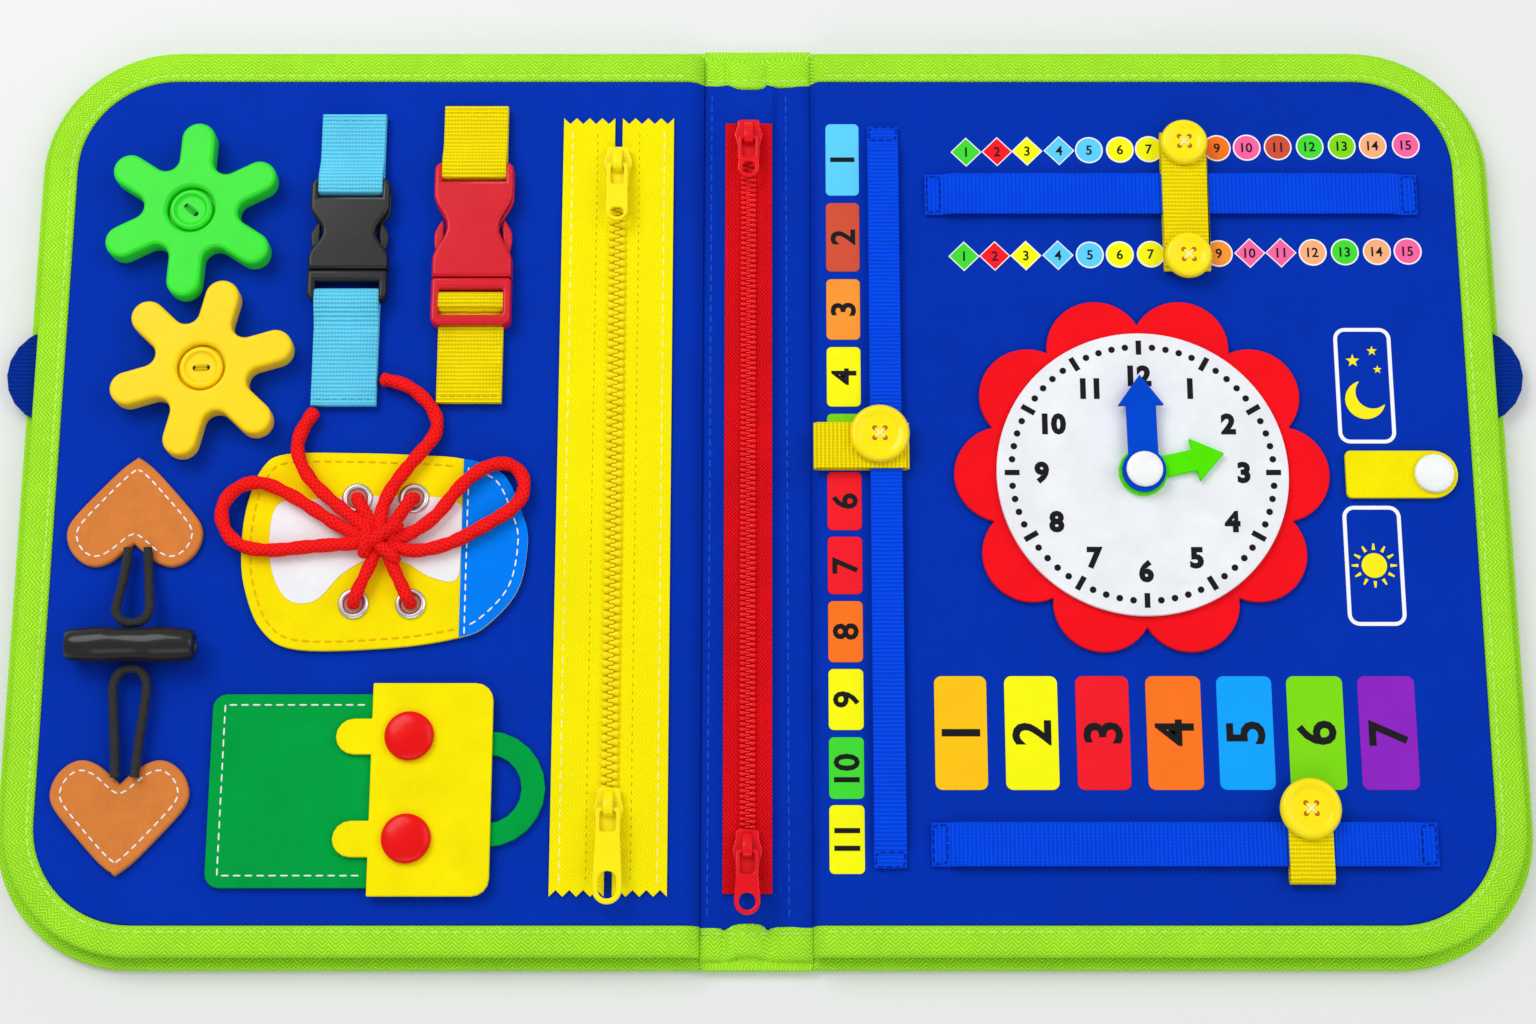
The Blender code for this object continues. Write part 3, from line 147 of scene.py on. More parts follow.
def surface(name, colour, rough=0.85, kind=None, pitch=0.001, deep=0.0002, fuzz=0.0, grain=2500.0,
            tint=0.10, turn=0.0, uv=False, sheen=0.0, metal=0.0, coat=0.0, shine=0.06, patchy=40.0,
            rub=0.0):
    """A cloth, felt, leather, plastic or metal: its colour varies in broad patches and in fine
    threads, a weave is painted into it with painted highlight on its raised threads and painted shade
    in its gaps, and its relief is a weave and a fuzz or grain."""
    made, tree, shader = tree_of(name)
    where = place(tree, 0.0, uv)[0]
    broad = add(tree, "TexNoise", [("Vector", where)], Scale=patchy, Detail=4.0, Roughness=0.6)
    fine = add(tree, "TexNoise", [("Vector", where)], Scale=grain, Detail=3.0, Roughness=0.7)
    mixed = maths(tree, "ADD", maths(tree, "MULTIPLY", broad.outputs[0], 0.55),
                  maths(tree, "MULTIPLY", fine.outputs[0], 0.45))
    # A weave's height goes into the colour: raised threads are painted lighter as highlight and the
    # gaps between them darker as painted shade.
    if kind:
        woven = weave(tree, kind, pitch, turn, uv)
        mixed = maths(tree, "ADD", maths(tree, "MULTIPLY", mixed, 0.6),
                      maths(tree, "MULTIPLY", woven, 0.4))
    dark = tuple(max(0.0, part * (1 - tint * 1.6)) for part in colour)
    light = tuple(min(1.0, part * (1 + tint)) for part in colour)
    ramp = add(tree, "ValToRGB", [("Fac", mixed)])
    for index, (position, shade) in enumerate(((0.30, dark), (0.70, light))):
        ramp.color_ramp.elements[index].position = position
        ramp.color_ramp.elements[index].color = (*shade, 1)
    tree.links.new(ramp.outputs[0], shader.inputs["Base Color"])
    roughness = add(tree, "MapRange", [("Value", broad.outputs[0])])
    put(roughness, {"To Min": max(0.03, rough - 0.06 - rub),
                    "To Max": min(1.0, rough + 0.06 + rub)})
    tree.links.new(roughness.outputs[0], shader.inputs["Roughness"])
    bump = None
    for height, distance in ((fine.outputs[0], fuzz), (woven if kind else None, deep)):
        if height and distance:
            links = [("Height", height)] + ([("Normal", bump.outputs[0])] if bump else [])
            bump = add(tree, "Bump", links, Strength=1.0, Distance=distance)
            tree.links.new(bump.outputs[0], shader.inputs["Normal"])
    settings = {"Metallic": metal, "Specular IOR Level": shine}
    if sheen:
        settings |= {"Sheen Weight": sheen, "Sheen Roughness": 0.5, "Sheen Tint": (*light, 1)}
    if coat:
        settings |= {"Coat Weight": coat, "Coat Roughness": 0.12}
    put(shader, settings)
    return made


def felt(name, colour):
    return surface(name, colour, 0.93, fuzz=0.00012, grain=3200, tint=0.08, sheen=0.04, patchy=60)


def webbing(name, colour, pitch=0.0015, turn=pi / 2, deep=0.00036):
    return surface(name, colour, 0.8, "ribs", pitch, deep, 0.00005, 2600, 0.15, turn)


def plastic(name, colour, rough=0.34, coat=0.10):
    return surface(name, colour, rough, fuzz=0.000012, grain=1400, tint=0.05, coat=coat, patchy=90,
                   rub=0.04, shine=0.16)


def vinyl(name, colour):
    return surface(name, colour, 0.5, fuzz=0.00001, grain=1800, tint=0.04, patchy=70, shine=0.12)


def yarn(name, colour):
    return surface(name, colour, 0.8, fuzz=0.00004, grain=6000, tint=0.1)


page_cloth = surface("page_cloth", (0.0, 0.030, 0.42), 0.85, "plain", 0.0011, 0.00010, 0.00004, 2400,
                     0.13)
lining = surface("lining_cloth", (0.0, 0.026, 0.36), 0.88, "plain", 0.0011, 0.00010, 0.00004, 2400,
                 0.13)
lime = surface("lime_binding", (0.38, 0.84, 0.028), 0.85, "twill", 0.0013, 0.00020, 0.00008, 2400,
               0.13, pi / 4)
lime_tape = surface("lime_tape", (0.38, 0.84, 0.028), 0.85, "chevron", 0.0015, 0.00024, 0.00008,
                    2400, 0.15, uv=True)
handle_web = webbing("handle_webbing", (0.0, 0.026, 0.29))
blue_web = webbing("blue_webbing", (0.0, 0.066, 0.84))
blue_web_flat = webbing("blue_webbing_across", (0.0, 0.066, 0.84), turn=0.0)
pale_web = webbing("pale_blue_webbing", (0.125, 0.64, 0.95))
yellow_web = webbing("yellow_webbing", (1.0, 0.73, 0.001))
yellow_web_flat = webbing("yellow_webbing_across", (1.0, 0.73, 0.001), turn=0.0)
green_felt = felt("green_felt", (0.0, 0.34, 0.050))
yellow_felt = felt("yellow_felt", (0.94, 0.80, 0.001))
red_felt = felt("red_felt", (0.90, 0.006, 0.012))
white_felt = felt("white_felt", (0.84, 0.85, 0.88))
hand_blue = felt("blue_felt", (0.0, 0.062, 0.60))
hand_green = felt("bright_green_felt", (0.085, 0.80, 0.001))
green_plastic = plastic("green_plastic", (0.026, 0.74, 0.020), 0.34, 0.10)
yellow_plastic = plastic("yellow_plastic", (0.97, 0.66, 0.0), 0.34, 0.10)
black_plastic = plastic("black_plastic", (0.014, 0.014, 0.015), 0.30, 0.30)
red_plastic = plastic("red_plastic", (0.64, 0.006, 0.018), 0.28, 0.20)
red_gloss = plastic("red_snap", (0.80, 0.001, 0.001), 0.30, 0.10)
white_gloss = plastic("white_snap", (0.88, 0.89, 0.89), 0.28, 0.15)
button_yellow = plastic("button_yellow", (0.98, 0.78, 0.001), 0.26, 0.2)
# Colours for the eyelets' and the buttons' holes: painted shade in the holes.
painted_eyelet_shade = surface("eyelet_hole", (0.40, 0.24, 0.18), 0.8, fuzz=0.00001, grain=1400, tint=0.1)
painted_button_hole_shade = surface("button_hole", (0.52, 0.15, 0.001), 0.8, fuzz=0.00001, grain=1400, tint=0.1)
yellow_tape = surface("yellow_zip_tape", (0.94, 0.82, 0.001), 0.85, "chevron", 0.0013, 0.00012,
                      0.00003, 2600, 0.07, pi / 2)
# A strong tint: the tape's knit is painted lighter on its ridges as highlight and darker in its gaps
# as painted shade, over its own red.
red_tape = surface("red_zip_tape", (0.78, 0.004, 0.009), 0.85, "chevron", 0.0013, 0.00026, 0.00010,
                   2000, 0.28, pi / 2)
yellow_teeth = plastic("yellow_teeth", (0.94, 0.76, 0.001), 0.36, 0.05)
# The teeth's own red, made lighter than the tape's as a painted highlight on the beads.
red_beads_painted_highlight = plastic("red_beads_painted_highlight", (0.86, 0.006, 0.012), 0.30, 0.2)
yellow_cast = plastic("yellow_cast", (0.96, 0.80, 0.0), 0.32, 0.12)
red_cast = plastic("red_cast", (0.78, 0.002, 0.008), 0.28, 0.15)
leather = surface("tan_leather", (0.66, 0.205, 0.042), 0.62, fuzz=0.00008, grain=1500, tint=0.10,
                  patchy=120, rub=0.05)
steel = surface("eyelet_steel", (0.66, 0.66, 0.67), 0.30, fuzz=0.000001, grain=900, tint=0.05,
                metal=1.0, shine=0.5)
thread_white = yarn("white_thread", (0.88, 0.88, 0.86))
thread_navy = yarn("navy_thread", (0.0, 0.020, 0.26))
thread_lime = yarn("lime_thread", (0.50, 0.86, 0.16))
thread_pale = yarn("pale_yellow_thread", (0.95, 0.88, 0.36))
thread_ochre = yarn("ochre_thread", (0.66, 0.44, 0.001))
thread_amber = yarn("amber_thread", (0.90, 0.50, 0.001))
thread_red = yarn("red_thread", (0.66, 0.01, 0.02))
thread_green = yarn("green_thread", (0.02, 0.46, 0.04))
thread_sky = yarn("sky_thread", (0.012, 0.085, 0.60))
ink = vinyl("black_ink", (0.006, 0.006, 0.008))
white_ink = vinyl("white_ink", (0.88, 0.89, 0.90))
yellow_ink = vinyl("yellow_ink", (0.94, 0.82, 0.004))
lace_red = surface("red_lace", (0.90, 0.010, 0.009), 0.82, "braid", 0.0022, 0.00025, 0.00004, 3000,
                   0.20, uv=True)
# A strong tint: the braid's raised strands are painted much lighter as highlight and its grooves
# darker as painted shade, over the cord's own black.
cord_black = surface("black_cord", (0.020, 0.020, 0.021), 0.7, "braid", 0.0014, 0.00026, 0.00003,
                     3000, 0.55, uv=True, shine=0.3)


# Modelling helpers
def show(name, mesh, matter, body, stands_for=(), angle=40.0):
    """One piece, in the book's own frame, riding on its body."""
    mesh.name = name
    mesh.materials.clear()
    mesh.materials.append(matter)
    mesh.set_sharp_from_angle(angle=radians(angle))
    mesh.polygons.foreach_set("use_smooth", [abs(face.normal.z) < 0.99999 for face in mesh.polygons])
    piece = bpy.data.objects.new(name, mesh)
    scene.collection.objects.link(piece)
    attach(piece, body)
    if stands_for:
        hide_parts(*stands_for)
    return piece


def meshed(shape, name="piece"):
    mesh = bpy.data.meshes.new(name)
    shape.to_mesh(mesh)
    shape.free()
    return mesh


def sliced(shape, axis, reach):
    """Cuts all faces at one place along an axis."""
    at, normal = Vector((0, 0, 0)), Vector((0, 0, 0))
    at[axis], normal[axis] = reach, 1
    bmesh.ops.bisect_plane(shape, geom=shape.verts[:] + shape.edges[:] + shape.faces[:], dist=1e-7,
                           plane_co=at, plane_no=normal)


def gridded(shape, cell):
    """Cuts the shape along a grid in X and Y, so that its faces can bend."""
    points = [vert.co for vert in shape.verts]
    for axis in (0, 1):
        low = min(point[axis] for point in points)
        high = max(point[axis] for point in points)
        for step in range(1, int((high - low) / cell)):
            sliced(shape, axis, low + step * cell)


def wrapped(shape, rings, capped=True, layer=None, marks=(), girth=()):
    """Joins rings of points into a skin and gives its two end faces. Its sides take UVs where
    marks and girth say how far along each ring and how far round each point lies."""
    count = len(rings[0])
    for index, (first, second) in enumerate(zip(rings, rings[1:])):
        for step in range(count):
            following = (step + 1) % count
            face = shape.faces.new((first[step], first[following], second[following], second[step]))
            if layer and step + 1 < len(girth):
                for loop, (a, b) in zip(face.loops, ((0, 0), (0, 1), (1, 1), (1, 0))):
                    loop[layer].uv = (marks[index + a], girth[step + b])
    return [shape.faces.new(rings[0][::-1]), shape.faces.new(rings[-1])] if capped else []


def closed_up(name, shape, matter, body, stands_for=(), angle=45):
    """Shows a shape as one piece, with its faces turned outwards."""
    bmesh.ops.recalc_face_normals(shape, faces=shape.faces[:])
    return show(name, meshed(shape), matter, body, stands_for, angle)


def outward(outline, index):
    """The direction out of a counter-clockwise outline at one of its points."""
    way = outline[(index + 1) % len(outline)] - outline[index - 1]
    return Vector((way.y, -way.x, 0)).normalized()


def softened(node, round_off=0.0004, segments=2, cell=0.0, bend=None, corner=35.0, cuts=()):
    """A copy of a CAD solid with its edges rounded, and with its faces cut finely and bent."""
    shape = bmesh.new()
    shape.from_mesh(frame["nodes"][node].data)
    bmesh.ops.remove_doubles(shape, verts=shape.verts[:], dist=2e-6)
    bmesh.ops.dissolve_limit(shape, angle_limit=radians(0.6), verts=shape.verts[:],
                             edges=shape.edges[:])
    sharp = [edge for edge in shape.edges
             if edge.is_manifold and edge.calc_face_angle(0) > radians(corner)]
    bmesh.ops.bevel(shape, geom=sharp, offset=round_off, segments=segments, profile=0.5,
                    affect="EDGES", clamp_overlap=True)
    if cell:
        gridded(shape, cell)
    for x in cuts:
        sliced(shape, 0, x)
    if bend:
        for vert in shape.verts:
            vert.co += bend(vert.co, vert.normal)
    bmesh.ops.triangulate(shape, faces=[face for face in shape.faces if len(face.verts) > 4])
    return meshed(shape, node)


def cloth(node, matter, slot=None, **words):
    """The detailed soft piece that stands for one CAD solid."""
    body = frame["nodes"][node]["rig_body"]
    return show(node + "_soft", softened(node, **words), matter, body, (node,))


def rough_lift(high, wide, seed=0.0):
    """A slow unevenness of a cloth's upper face."""
    def bend(point, normal):
        if normal.z < 0.5:
            return Vector((0, 0, 0))
        return Vector((0, 0, high * noise.noise(Vector((point.x / wide, point.y / wide, seed)))))
    return bend


def along(points, closed=False):
    """Distances along a line of points, and the point at any distance."""
    line = [Vector(point) for point in points]
    if closed:
        line.append(line[0])
    marks = [0.0]
    for first, second in zip(line, line[1:]):
        marks.append(marks[-1] + (second - first).length)

    def at(distance):
        distance = min(max(distance, 0.0), marks[-1])
        for index in range(1, len(marks)):
            if distance <= marks[index] or index == len(marks) - 1:
                span = max(marks[index] - marks[index - 1], 1e-9)
                share = (distance - marks[index - 1]) / span
                way = (line[index] - line[index - 1]).normalized()
                return line[index - 1].lerp(line[index], share), way
    return marks[-1], at


def capsule(shape, start, end, radius, flat=0.6, sides=6):
    """A small rounded rod lying flat, such as one stitch."""
    way = (end - start).normalized()
    side = Vector((-way.y, way.x, 0))
    side = side.normalized() if side.length > 1e-6 else Vector((1, 0, 0))
    up = way.cross(side)
    rings = []
    for share, wide in ((0.0, 0.45), (0.12, 0.9), (0.5, 1.0), (0.88, 0.9), (1.0, 0.45)):
        middle = start.lerp(end, share)
        rings.append([shape.verts.new(middle + side * cos(turn) * radius * wide
                                      + up * sin(turn) * radius * wide * flat)
                      for turn in (2 * pi * step / sides for step in range(sides))])
    wrapped(shape, rings)


def stitched(name, routes, matter, body, pitch=0.0042, long=0.0027, radius=0.00030, closed=False):
    """Rows of stitches along routes, as one piece."""
    shape = bmesh.new()
    for route in routes:
        total, at = along(route, closed)
        count = max(1, round(total / pitch))
        for index in range(count):
            middle = (index + 0.5) * total / count
            start, end = at(middle - long / 2)[0], at(middle + long / 2)[0]
            if (end - start).length > long * 0.3:
                capsule(shape, start, end, radius)
    return closed_up(name, shape, matter, body, (), 40)


def arc(x, y, radius, start, end, steps):
    """Points along an arc, between two angles in degrees."""
    turns = (radians(start + (end - start) * step / steps) for step in range(steps + 1))
    return [Vector((x + radius * cos(turn), y + radius * sin(turn), 0)) for turn in turns]


def compass(turn):
    """The direction of an angle in radians, and the one a quarter turn further."""
    return Vector((cos(turn), sin(turn), 0)), Vector((-sin(turn), cos(turn), 0))


def spoke(centre, turn, near, far, near_half, far_half):
    """A flat bar that points away from a centre."""
    out, side = compass(turn)
    return [centre + out * near - side * near_half, centre + out * far - side * far_half,
            centre + out * far + side * far_half, centre + out * near + side * near_half]


def rounded(low_x, low_y, high_x, high_y, radius, steps=6):
    """A rectangle with rounded corners, counter-clockwise."""
    return (arc(high_x - radius, low_y + radius, radius, -90, 0, steps)
            + arc(high_x - radius, high_y - radius, radius, 0, 90, steps)
            + arc(low_x + radius, high_y - radius, radius, 90, 180, steps)
            + arc(low_x + radius, low_y + radius, radius, 180, 270, steps))


def plate(shape, outline, low, high, round_off=0.0):
    """A thin plate with one outline, its upper edge rounded."""
    levels = [(0.0, low), (0.0, high)]
    if round_off:
        levels[1:] = [(round_off * (1 - cos(turn)), high - round_off * (1 - sin(turn)))
                      for turn in (0.0, pi / 4, pi / 2)]
    rings = []
    for inset, level in levels:
        moved = [point - outward(outline, index) * inset for index, point in enumerate(outline)]
        rings.append([shape.verts.new((point.x, point.y, level)) for point in moved])
    wrapped(shape, rings)


def plates(name, outlines, low, high, matter, body, round_off=0.0):
    shape = bmesh.new()
    for outline in outlines:
        plate(shape, outline, low, high, round_off)
    return closed_up(name, shape, matter, body, (), 50)


def band(name, outline, wide, low, high, matter, body):
    """A printed line of even width along a closed outline."""
    shape = bmesh.new()
    rings = []
    for index, point in enumerate(outline):
        half = outward(outline, index) * (wide / 2)
        rings.append([shape.verts.new((spot.x, spot.y, level)) for spot, level in (
            (point - half, low), (point - half, high), (point + half, high), (point + half, low))])
    wrapped(shape, [*rings, rings[0]], capped=False)
    return closed_up(name, shape, matter, body, (), 50)


def numbers(name, entries, low, high, matter, body):
    """Plain numbers as thin raised print: each entry is text, x, y, height, turn and how bold."""
    shape = bmesh.new()
    for text, x, y, tall, turn, bold in entries:
        curve = bpy.data.curves.new(name, "FONT")
        curve.body = text
        curve.align_x = "CENTER"
        curve.align_y = "CENTER"
        curve.size = tall
        curve.offset = bold
        curve.resolution_u = 3
        mesh = filled(curve)
        xs = [vert.co.x for vert in mesh.vertices]
        ys = [vert.co.y for vert in mesh.vertices]
        middle = Vector(((min(xs) + max(xs)) / 2, (min(ys) + max(ys)) / 2, 0))
        mesh.transform(Matrix.Translation((x, y, high)) @ Matrix.Rotation(turn, 4, "Z")
                       @ Matrix.Translation(-middle))
        shape.from_mesh(mesh)
        bpy.data.meshes.remove(mesh)
    bmesh.ops.remove_doubles(shape, verts=shape.verts[:], dist=1e-6)
    grown = bmesh.ops.extrude_face_region(shape, geom=shape.faces[:])
    for item in grown["geom"]:
        if isinstance(item, bmesh.types.BMVert):
            item.co.z = low
    return closed_up(name, shape, matter, body, (), 30)


def smoothed(points):
    """Three rounds of corner cutting, with both ends kept."""
    line = [Vector(point) for point in points]
    for _ in range(3):
        found = [line[0]]
        for first, second in zip(line, line[1:]):
            found += [first.lerp(second, 0.25), first.lerp(second, 0.75)]
        line = [*found, line[-1]]
    return line


def braided(name, route, radius, step=0.0007, sides=14, strands=4, taper=0.0, ease=0):
    """A round braid along a route, with its crossing strands raised, and UVs in metres along and
    around it."""
    total, at = along(smoothed(route))
    count = ceil(total / 0.001)
    spots = [at(total * index / count)[0] for index in range(count + 1)]
    for _ in range(ease):
        spots[1:-1] = [(before + spot * 2 + after) / 4
                       for before, spot, after in zip(spots, spots[1:], spots[2:])]
    total, at = along(spots)
    count = max(2, round(total / step))
    centres = [at(total * index / count)[0] for index in range(count + 1)]
    ways = [(centres[min(index + 1, count)] - centres[max(index - 1, 0)]).normalized()
            for index in range(count + 1)]
    side = ways[0].cross(Vector((0, 0, 1)))
    if side.length < 0.2:
        side = Vector((1, 0, 0))
    shape = bmesh.new()
    layer = shape.loops.layers.uv.new("braid")
    rings = []
    for index, (centre, way) in enumerate(zip(centres, ways)):
        side = (side - way * side.dot(way)).normalized()
        up = way.cross(side)
        distance = total * index / count
        wind = distance / (radius * 3.4) * 2 * pi
        ring = []
        for corner in range(sides):
            turn = 2 * pi * corner / sides
            over = max(cos(turn * strands / 2 + wind), cos(turn * strands / 2 - wind))
            wide = radius * (0.93 + 0.07 * over)
            if taper and min(distance, total - distance) < taper:
                wide *= sqrt(max(0.05, min(distance, total - distance) / taper))
            ring.append(shape.verts.new(centre + (side * cos(turn) + up * sin(turn)) * wide))
        rings.append(ring)
    wrapped(shape, rings, True, layer, [total * index / count for index in range(count + 1)],
            [2 * pi * radius * corner / sides for corner in range(sides + 1)])
    return meshed(shape, name), centres, total


def through(points, count=5, closed=False):
    """A smooth curve through the points."""
    line = [Vector(point) for point in points]
    if closed:
        line = [line[-1], *line, line[0], line[1]]
    else:
        line = [line[0] * 2 - line[1], *line, line[-1] * 2 - line[-2]]
    found = []
    for first, start, end, last in zip(line, line[1:], line[2:], line[3:]):
        for step in range(count):
            part = step / count
            found.append((start * 2 + (end - first) * part
                          + (first * 2 - start * 5 + end * 4 - last) * part ** 2
                          + (start * 3 - first - end * 3 + last) * part ** 3) / 2)
    return found if closed else [*found, line[-2]]


def cast(shape, outlines, low, high, round_off=0.0004, axis="z"):
    """Adds a plate with rounded edges to a shape. The outlines after the first are its openings.
    About the x axis the outlines are in Y and Z."""
    curve = bpy.data.curves.new("cast", "CURVE")
    curve.dimensions = "2D"
    curve.fill_mode = "BOTH"
    for outline in outlines:
        spline = curve.splines.new("POLY")
        spline.points.add(len(outline) - 1)
        for point, place_on in zip(spline.points, outline):
            point.co = (place_on[0], place_on[1], 0, 1)
        spline.use_cyclic_u = True
    curve.offset = -round_off
    curve.extrude = (high - low) / 2 - round_off
    curve.bevel_depth = round_off
    curve.bevel_resolution = 3
    mesh = filled(curve)
    mesh.transform(Matrix.Translation((0, 0, (low + high) / 2)))
    if axis == "x":
        mesh.transform(Matrix(((0, 0, 1, 0), (1, 0, 0, 0), (0, 1, 0, 0), (0, 0, 0, 1))))
    shape.from_mesh(mesh)
    bpy.data.meshes.remove(mesh)


def filled(curve):
    """The mesh of a flat curve, or of a line of text."""
    holder = bpy.data.objects.new("filled", curve)
    scene.collection.objects.link(holder)
    bpy.context.view_layer.update()
    mesh = bpy.data.meshes.new_from_object(holder.evaluated_get(
        bpy.context.evaluated_depsgraph_get()))
    bpy.data.objects.remove(holder)
    bpy.data.curves.remove(curve)
    return mesh


def joined(name, shape, matter, body, stands_for=(), angle=45):
    """Closes the seams of cast forms and shows them as one piece."""
    bmesh.ops.remove_doubles(shape, verts=shape.verts[:], dist=2e-6)
    return closed_up(name, shape, matter, body, stands_for, angle)


def mirrored(right, centre_x):
    """A closed outline from its right half, given upwards."""
    return ([(centre_x + across, up) for across, up in right]
            + [(centre_x - across, up) for across, up in right[::-1]])


# Turned pieces, such as caps, eyelets and the toggle
def lathe(shape, profile, centre, steps=40, axis="z"):
    """A closed turned form: each point of the profile is a radius and a place along the axis."""
    rings = []
    for radius, reach in profile:
        ring = []
        for step in range(steps):
            turn = 2 * pi * step / steps
            across, up = cos(turn) * radius, sin(turn) * radius
            spot = (across, up, reach) if axis == "z" else (reach, across, up)
            ring.append(shape.verts.new(Vector(centre) + Vector(spot)))
        rings.append(ring)
    wrapped(shape, rings, profile[0] != profile[-1])
    bmesh.ops.remove_doubles(shape, verts=shape.verts[:], dist=1e-6)


def turned(name, profile, centres, matter, body, stands_for=(), steps=40, axis="z"):
    """One piece of turned forms with the same profile."""
    shape = bmesh.new()
    for centre in centres:
        lathe(shape, profile, centre, steps, axis)
    return closed_up(name, shape, matter, body, stands_for, 45)


def drawn_in(outline, inset):
    """A closed outline, moved inwards."""
    area = sum(first.x * second.y - second.x * first.y
               for first, second in zip(outline, outline[1:] + outline[:1]))
    return [point - outward(outline, index) * (inset if area > 0 else -inset)
            for index, point in enumerate(outline)]


def cut(outline, x, right):
    """The part of an outline on one side of a line of constant X."""
    found = []
    for index, point in enumerate(outline):
        after = outline[(index + 1) % len(outline)]
        if (point.x >= x) == right:
            found.append(point)
        if (point.x - x) * (after.x - x) < 0:
            found.append(point.lerp(after, (x - point.x) / (after.x - point.x)))
    return found


def lifted(outline, z):
    return [Vector((point[0], point[1], z)) for point in outline]


def opened(outline):
    """An outline that starts after its longest gap."""
    gaps = [(point - outline[index - 1]).length for index, point in enumerate(outline)]
    start = gaps.index(max(gaps))
    return outline[start:] + outline[:start]


def dome(radius, low, edge, high, steps=7):
    """The profile of a snap cap: a short wall and a low dome."""
    found = [(radius - 0.0004, low), (radius, low + 0.0003), (radius, edge)]
    found += [(radius * cos(radians(turn)), edge + (high - edge) * sin(radians(turn)))
              for turn in (90 * step / steps for step in range(1, steps))]
    return [*found, (0.00005, high)]


# Covers, pages, spine, bindings and handles
item_low = 0.0108
fold_base = 0.0032
fold_left, fold_right = -0.0230, 0.0170


def sunk(point, side):
    """How far a page's cloth sinks where it turns down into the fold."""
    gap = (fold_left - point.x, 0.0065) if side == "left" else (point.x - fold_right, 0.0040)
    share = min(max(gap[0] / gap[1], 0.0), 1.0)
    return max(0.0, point.z - 0.0062) * 0.93 * (1 - share * (2 - share))


def page_bend(side):
    uneven = rough_lift(0.00012, 0.022, 2.0)
    return lambda point, normal: uneven(point, normal) - Vector((0, 0, sunk(point, side)))


cut_reaches = (0.0004, 0.0007, 0.0011, 0.0016, 0.0022, 0.0029, 0.0037, 0.0046, 0.0058)
for side, fold, way in (("left", fold_left, -1), ("right", fold_right, 1)):
    cloth(side + "_cover", lining, "blue_felt", round_off=0.0005, cell=0.012,
          bend=rough_lift(0.0002, 0.03))
    cloth(side + "_page", page_cloth, "blue_felt", round_off=0.0006, cell=0.005,
          bend=page_bend(side), cuts=[fold + way * reach for reach in cut_reaches])
    cloth(side + "_handle", handle_web, "blue_webbing", round_off=0.0005, segments=2)


def board_route(side, outer, half, corner, inner, inset=0.0):
    """The line round a board's three free sides, from its upper fold corner to the lower."""
    way = -1 if side == "left" else 1
    reach = corner - inset
    x, y = way * (outer - corner), half - corner
    turns = [radians(5 * step) for step in range(19)]
    return [Vector((inner, half - inset, 0)),
            *(Vector((x + way * reach * sin(turn), y + reach * cos(turn), 0)) for turn in turns),
            *(Vector((x + way * reach * cos(turn), -y - reach * sin(turn), 0)) for turn in turns),
            Vector((inner, inset - half, 0))]


def bound(node, side, outer, half, corner, inner, low, high, deep_low, deep_high, width):
    """A folded tape round a board's edge: puffed leaves above and below and a round outer wall."""
    route = board_route(side, outer, half, corner, inner)
    line, marks = [], [0.0]
    for first, second in zip(route, route[1:]):
        pitch = 0.0015 if min(abs(first.x - inner), abs(second.x - inner)) < 0.02 else 0.006
        pieces = max(1, ceil((second - first).length / pitch))
        line += [first.lerp(second, step / pieces) for step in range(pieces)]
    line.append(route[-1])
    for first, second in zip(line, line[1:]):
        marks.append(marks[-1] + (second - first).length)
    round_r = (high - low) * 0.42
    middle = (low + high) / 2
    profile = [(width, deep_high), (width - 0.0002, high - 0.0003), (width - 0.0008, high - 0.00005),
               (width - 0.0022, high - 0.0003), (width - 0.0034, high), (width / 2, high + 0.0001),
               (round_r * 1.3, high)]
    profile += [(round_r * (1 - cos(radians(turn))), high - round_r * (1 - sin(radians(turn))))
                for turn in (70, 50, 30, 10)]
    profile += [(0, middle)]
    profile += [(across, 2 * middle - up) for across, up in profile[-2::-1]]
    profile[-1] = (width, deep_low)
    girth = [0.0]
    for (a, b), (c, d) in zip(profile, profile[1:]):
        girth.append(girth[-1] + hypot(c - a, d - b))
    shape = bmesh.new()
    layer = shape.loops.layers.uv.new("tape")
    rings = []
    for index, point in enumerate(line):
        way = (line[min(index + 1, len(line) - 1)] - line[max(index - 1, 0)]).normalized()
        inward = Vector((way.y, -way.x, 0)) * (-1 if side == "left" else 1)
        pucker = 0.00012 * sin(marks[index] * 2 * pi / 0.0085) + 0.0001 * noise.noise(point * 90)
        ring = []
        for across, up in profile:
            lift = pucker if 0.002 < across < width - 0.0005 and up > middle else 0.0
            spot = point + inward * across + Vector((0, 0, up + lift))
            ring.append(shape.verts.new(spot - Vector((0, 0, sunk(spot, side)))))
        rings.append(ring)
    bmesh.ops.triangulate(shape, faces=wrapped(shape, rings, True, layer, marks, girth))
    body = frame["nodes"][node]["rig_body"]
    closed_up(node + "_soft", shape, lime_tape, body, (node,), 60)
    seam = board_route(side, outer, half, corner, inner, width - 0.0022)
    seam[0].x = seam[-1].x = inner + (-0.007 if side == "left" else 0.005)
    stitched(node + "_seam", [lifted(seam, high - 0.0002)], thread_lime, body, 0.0040, 0.0029,
             0.00034)


for side, inner, way in (("left", fold_left, -1), ("right", fold_right, 1)):
    bound(side + "_cover_binding", side, 0.274, 0.174, 0.050, inner + way * 0.00015, 0.0, 0.0035,
          0.0004, 0.0030, 0.011)
    bound(side + "_page_binding", side, 0.270, 0.170, 0.047, inner + way * 0.00012, 0.0059, 0.01095,
          0.0064, 0.0102, 0.011)


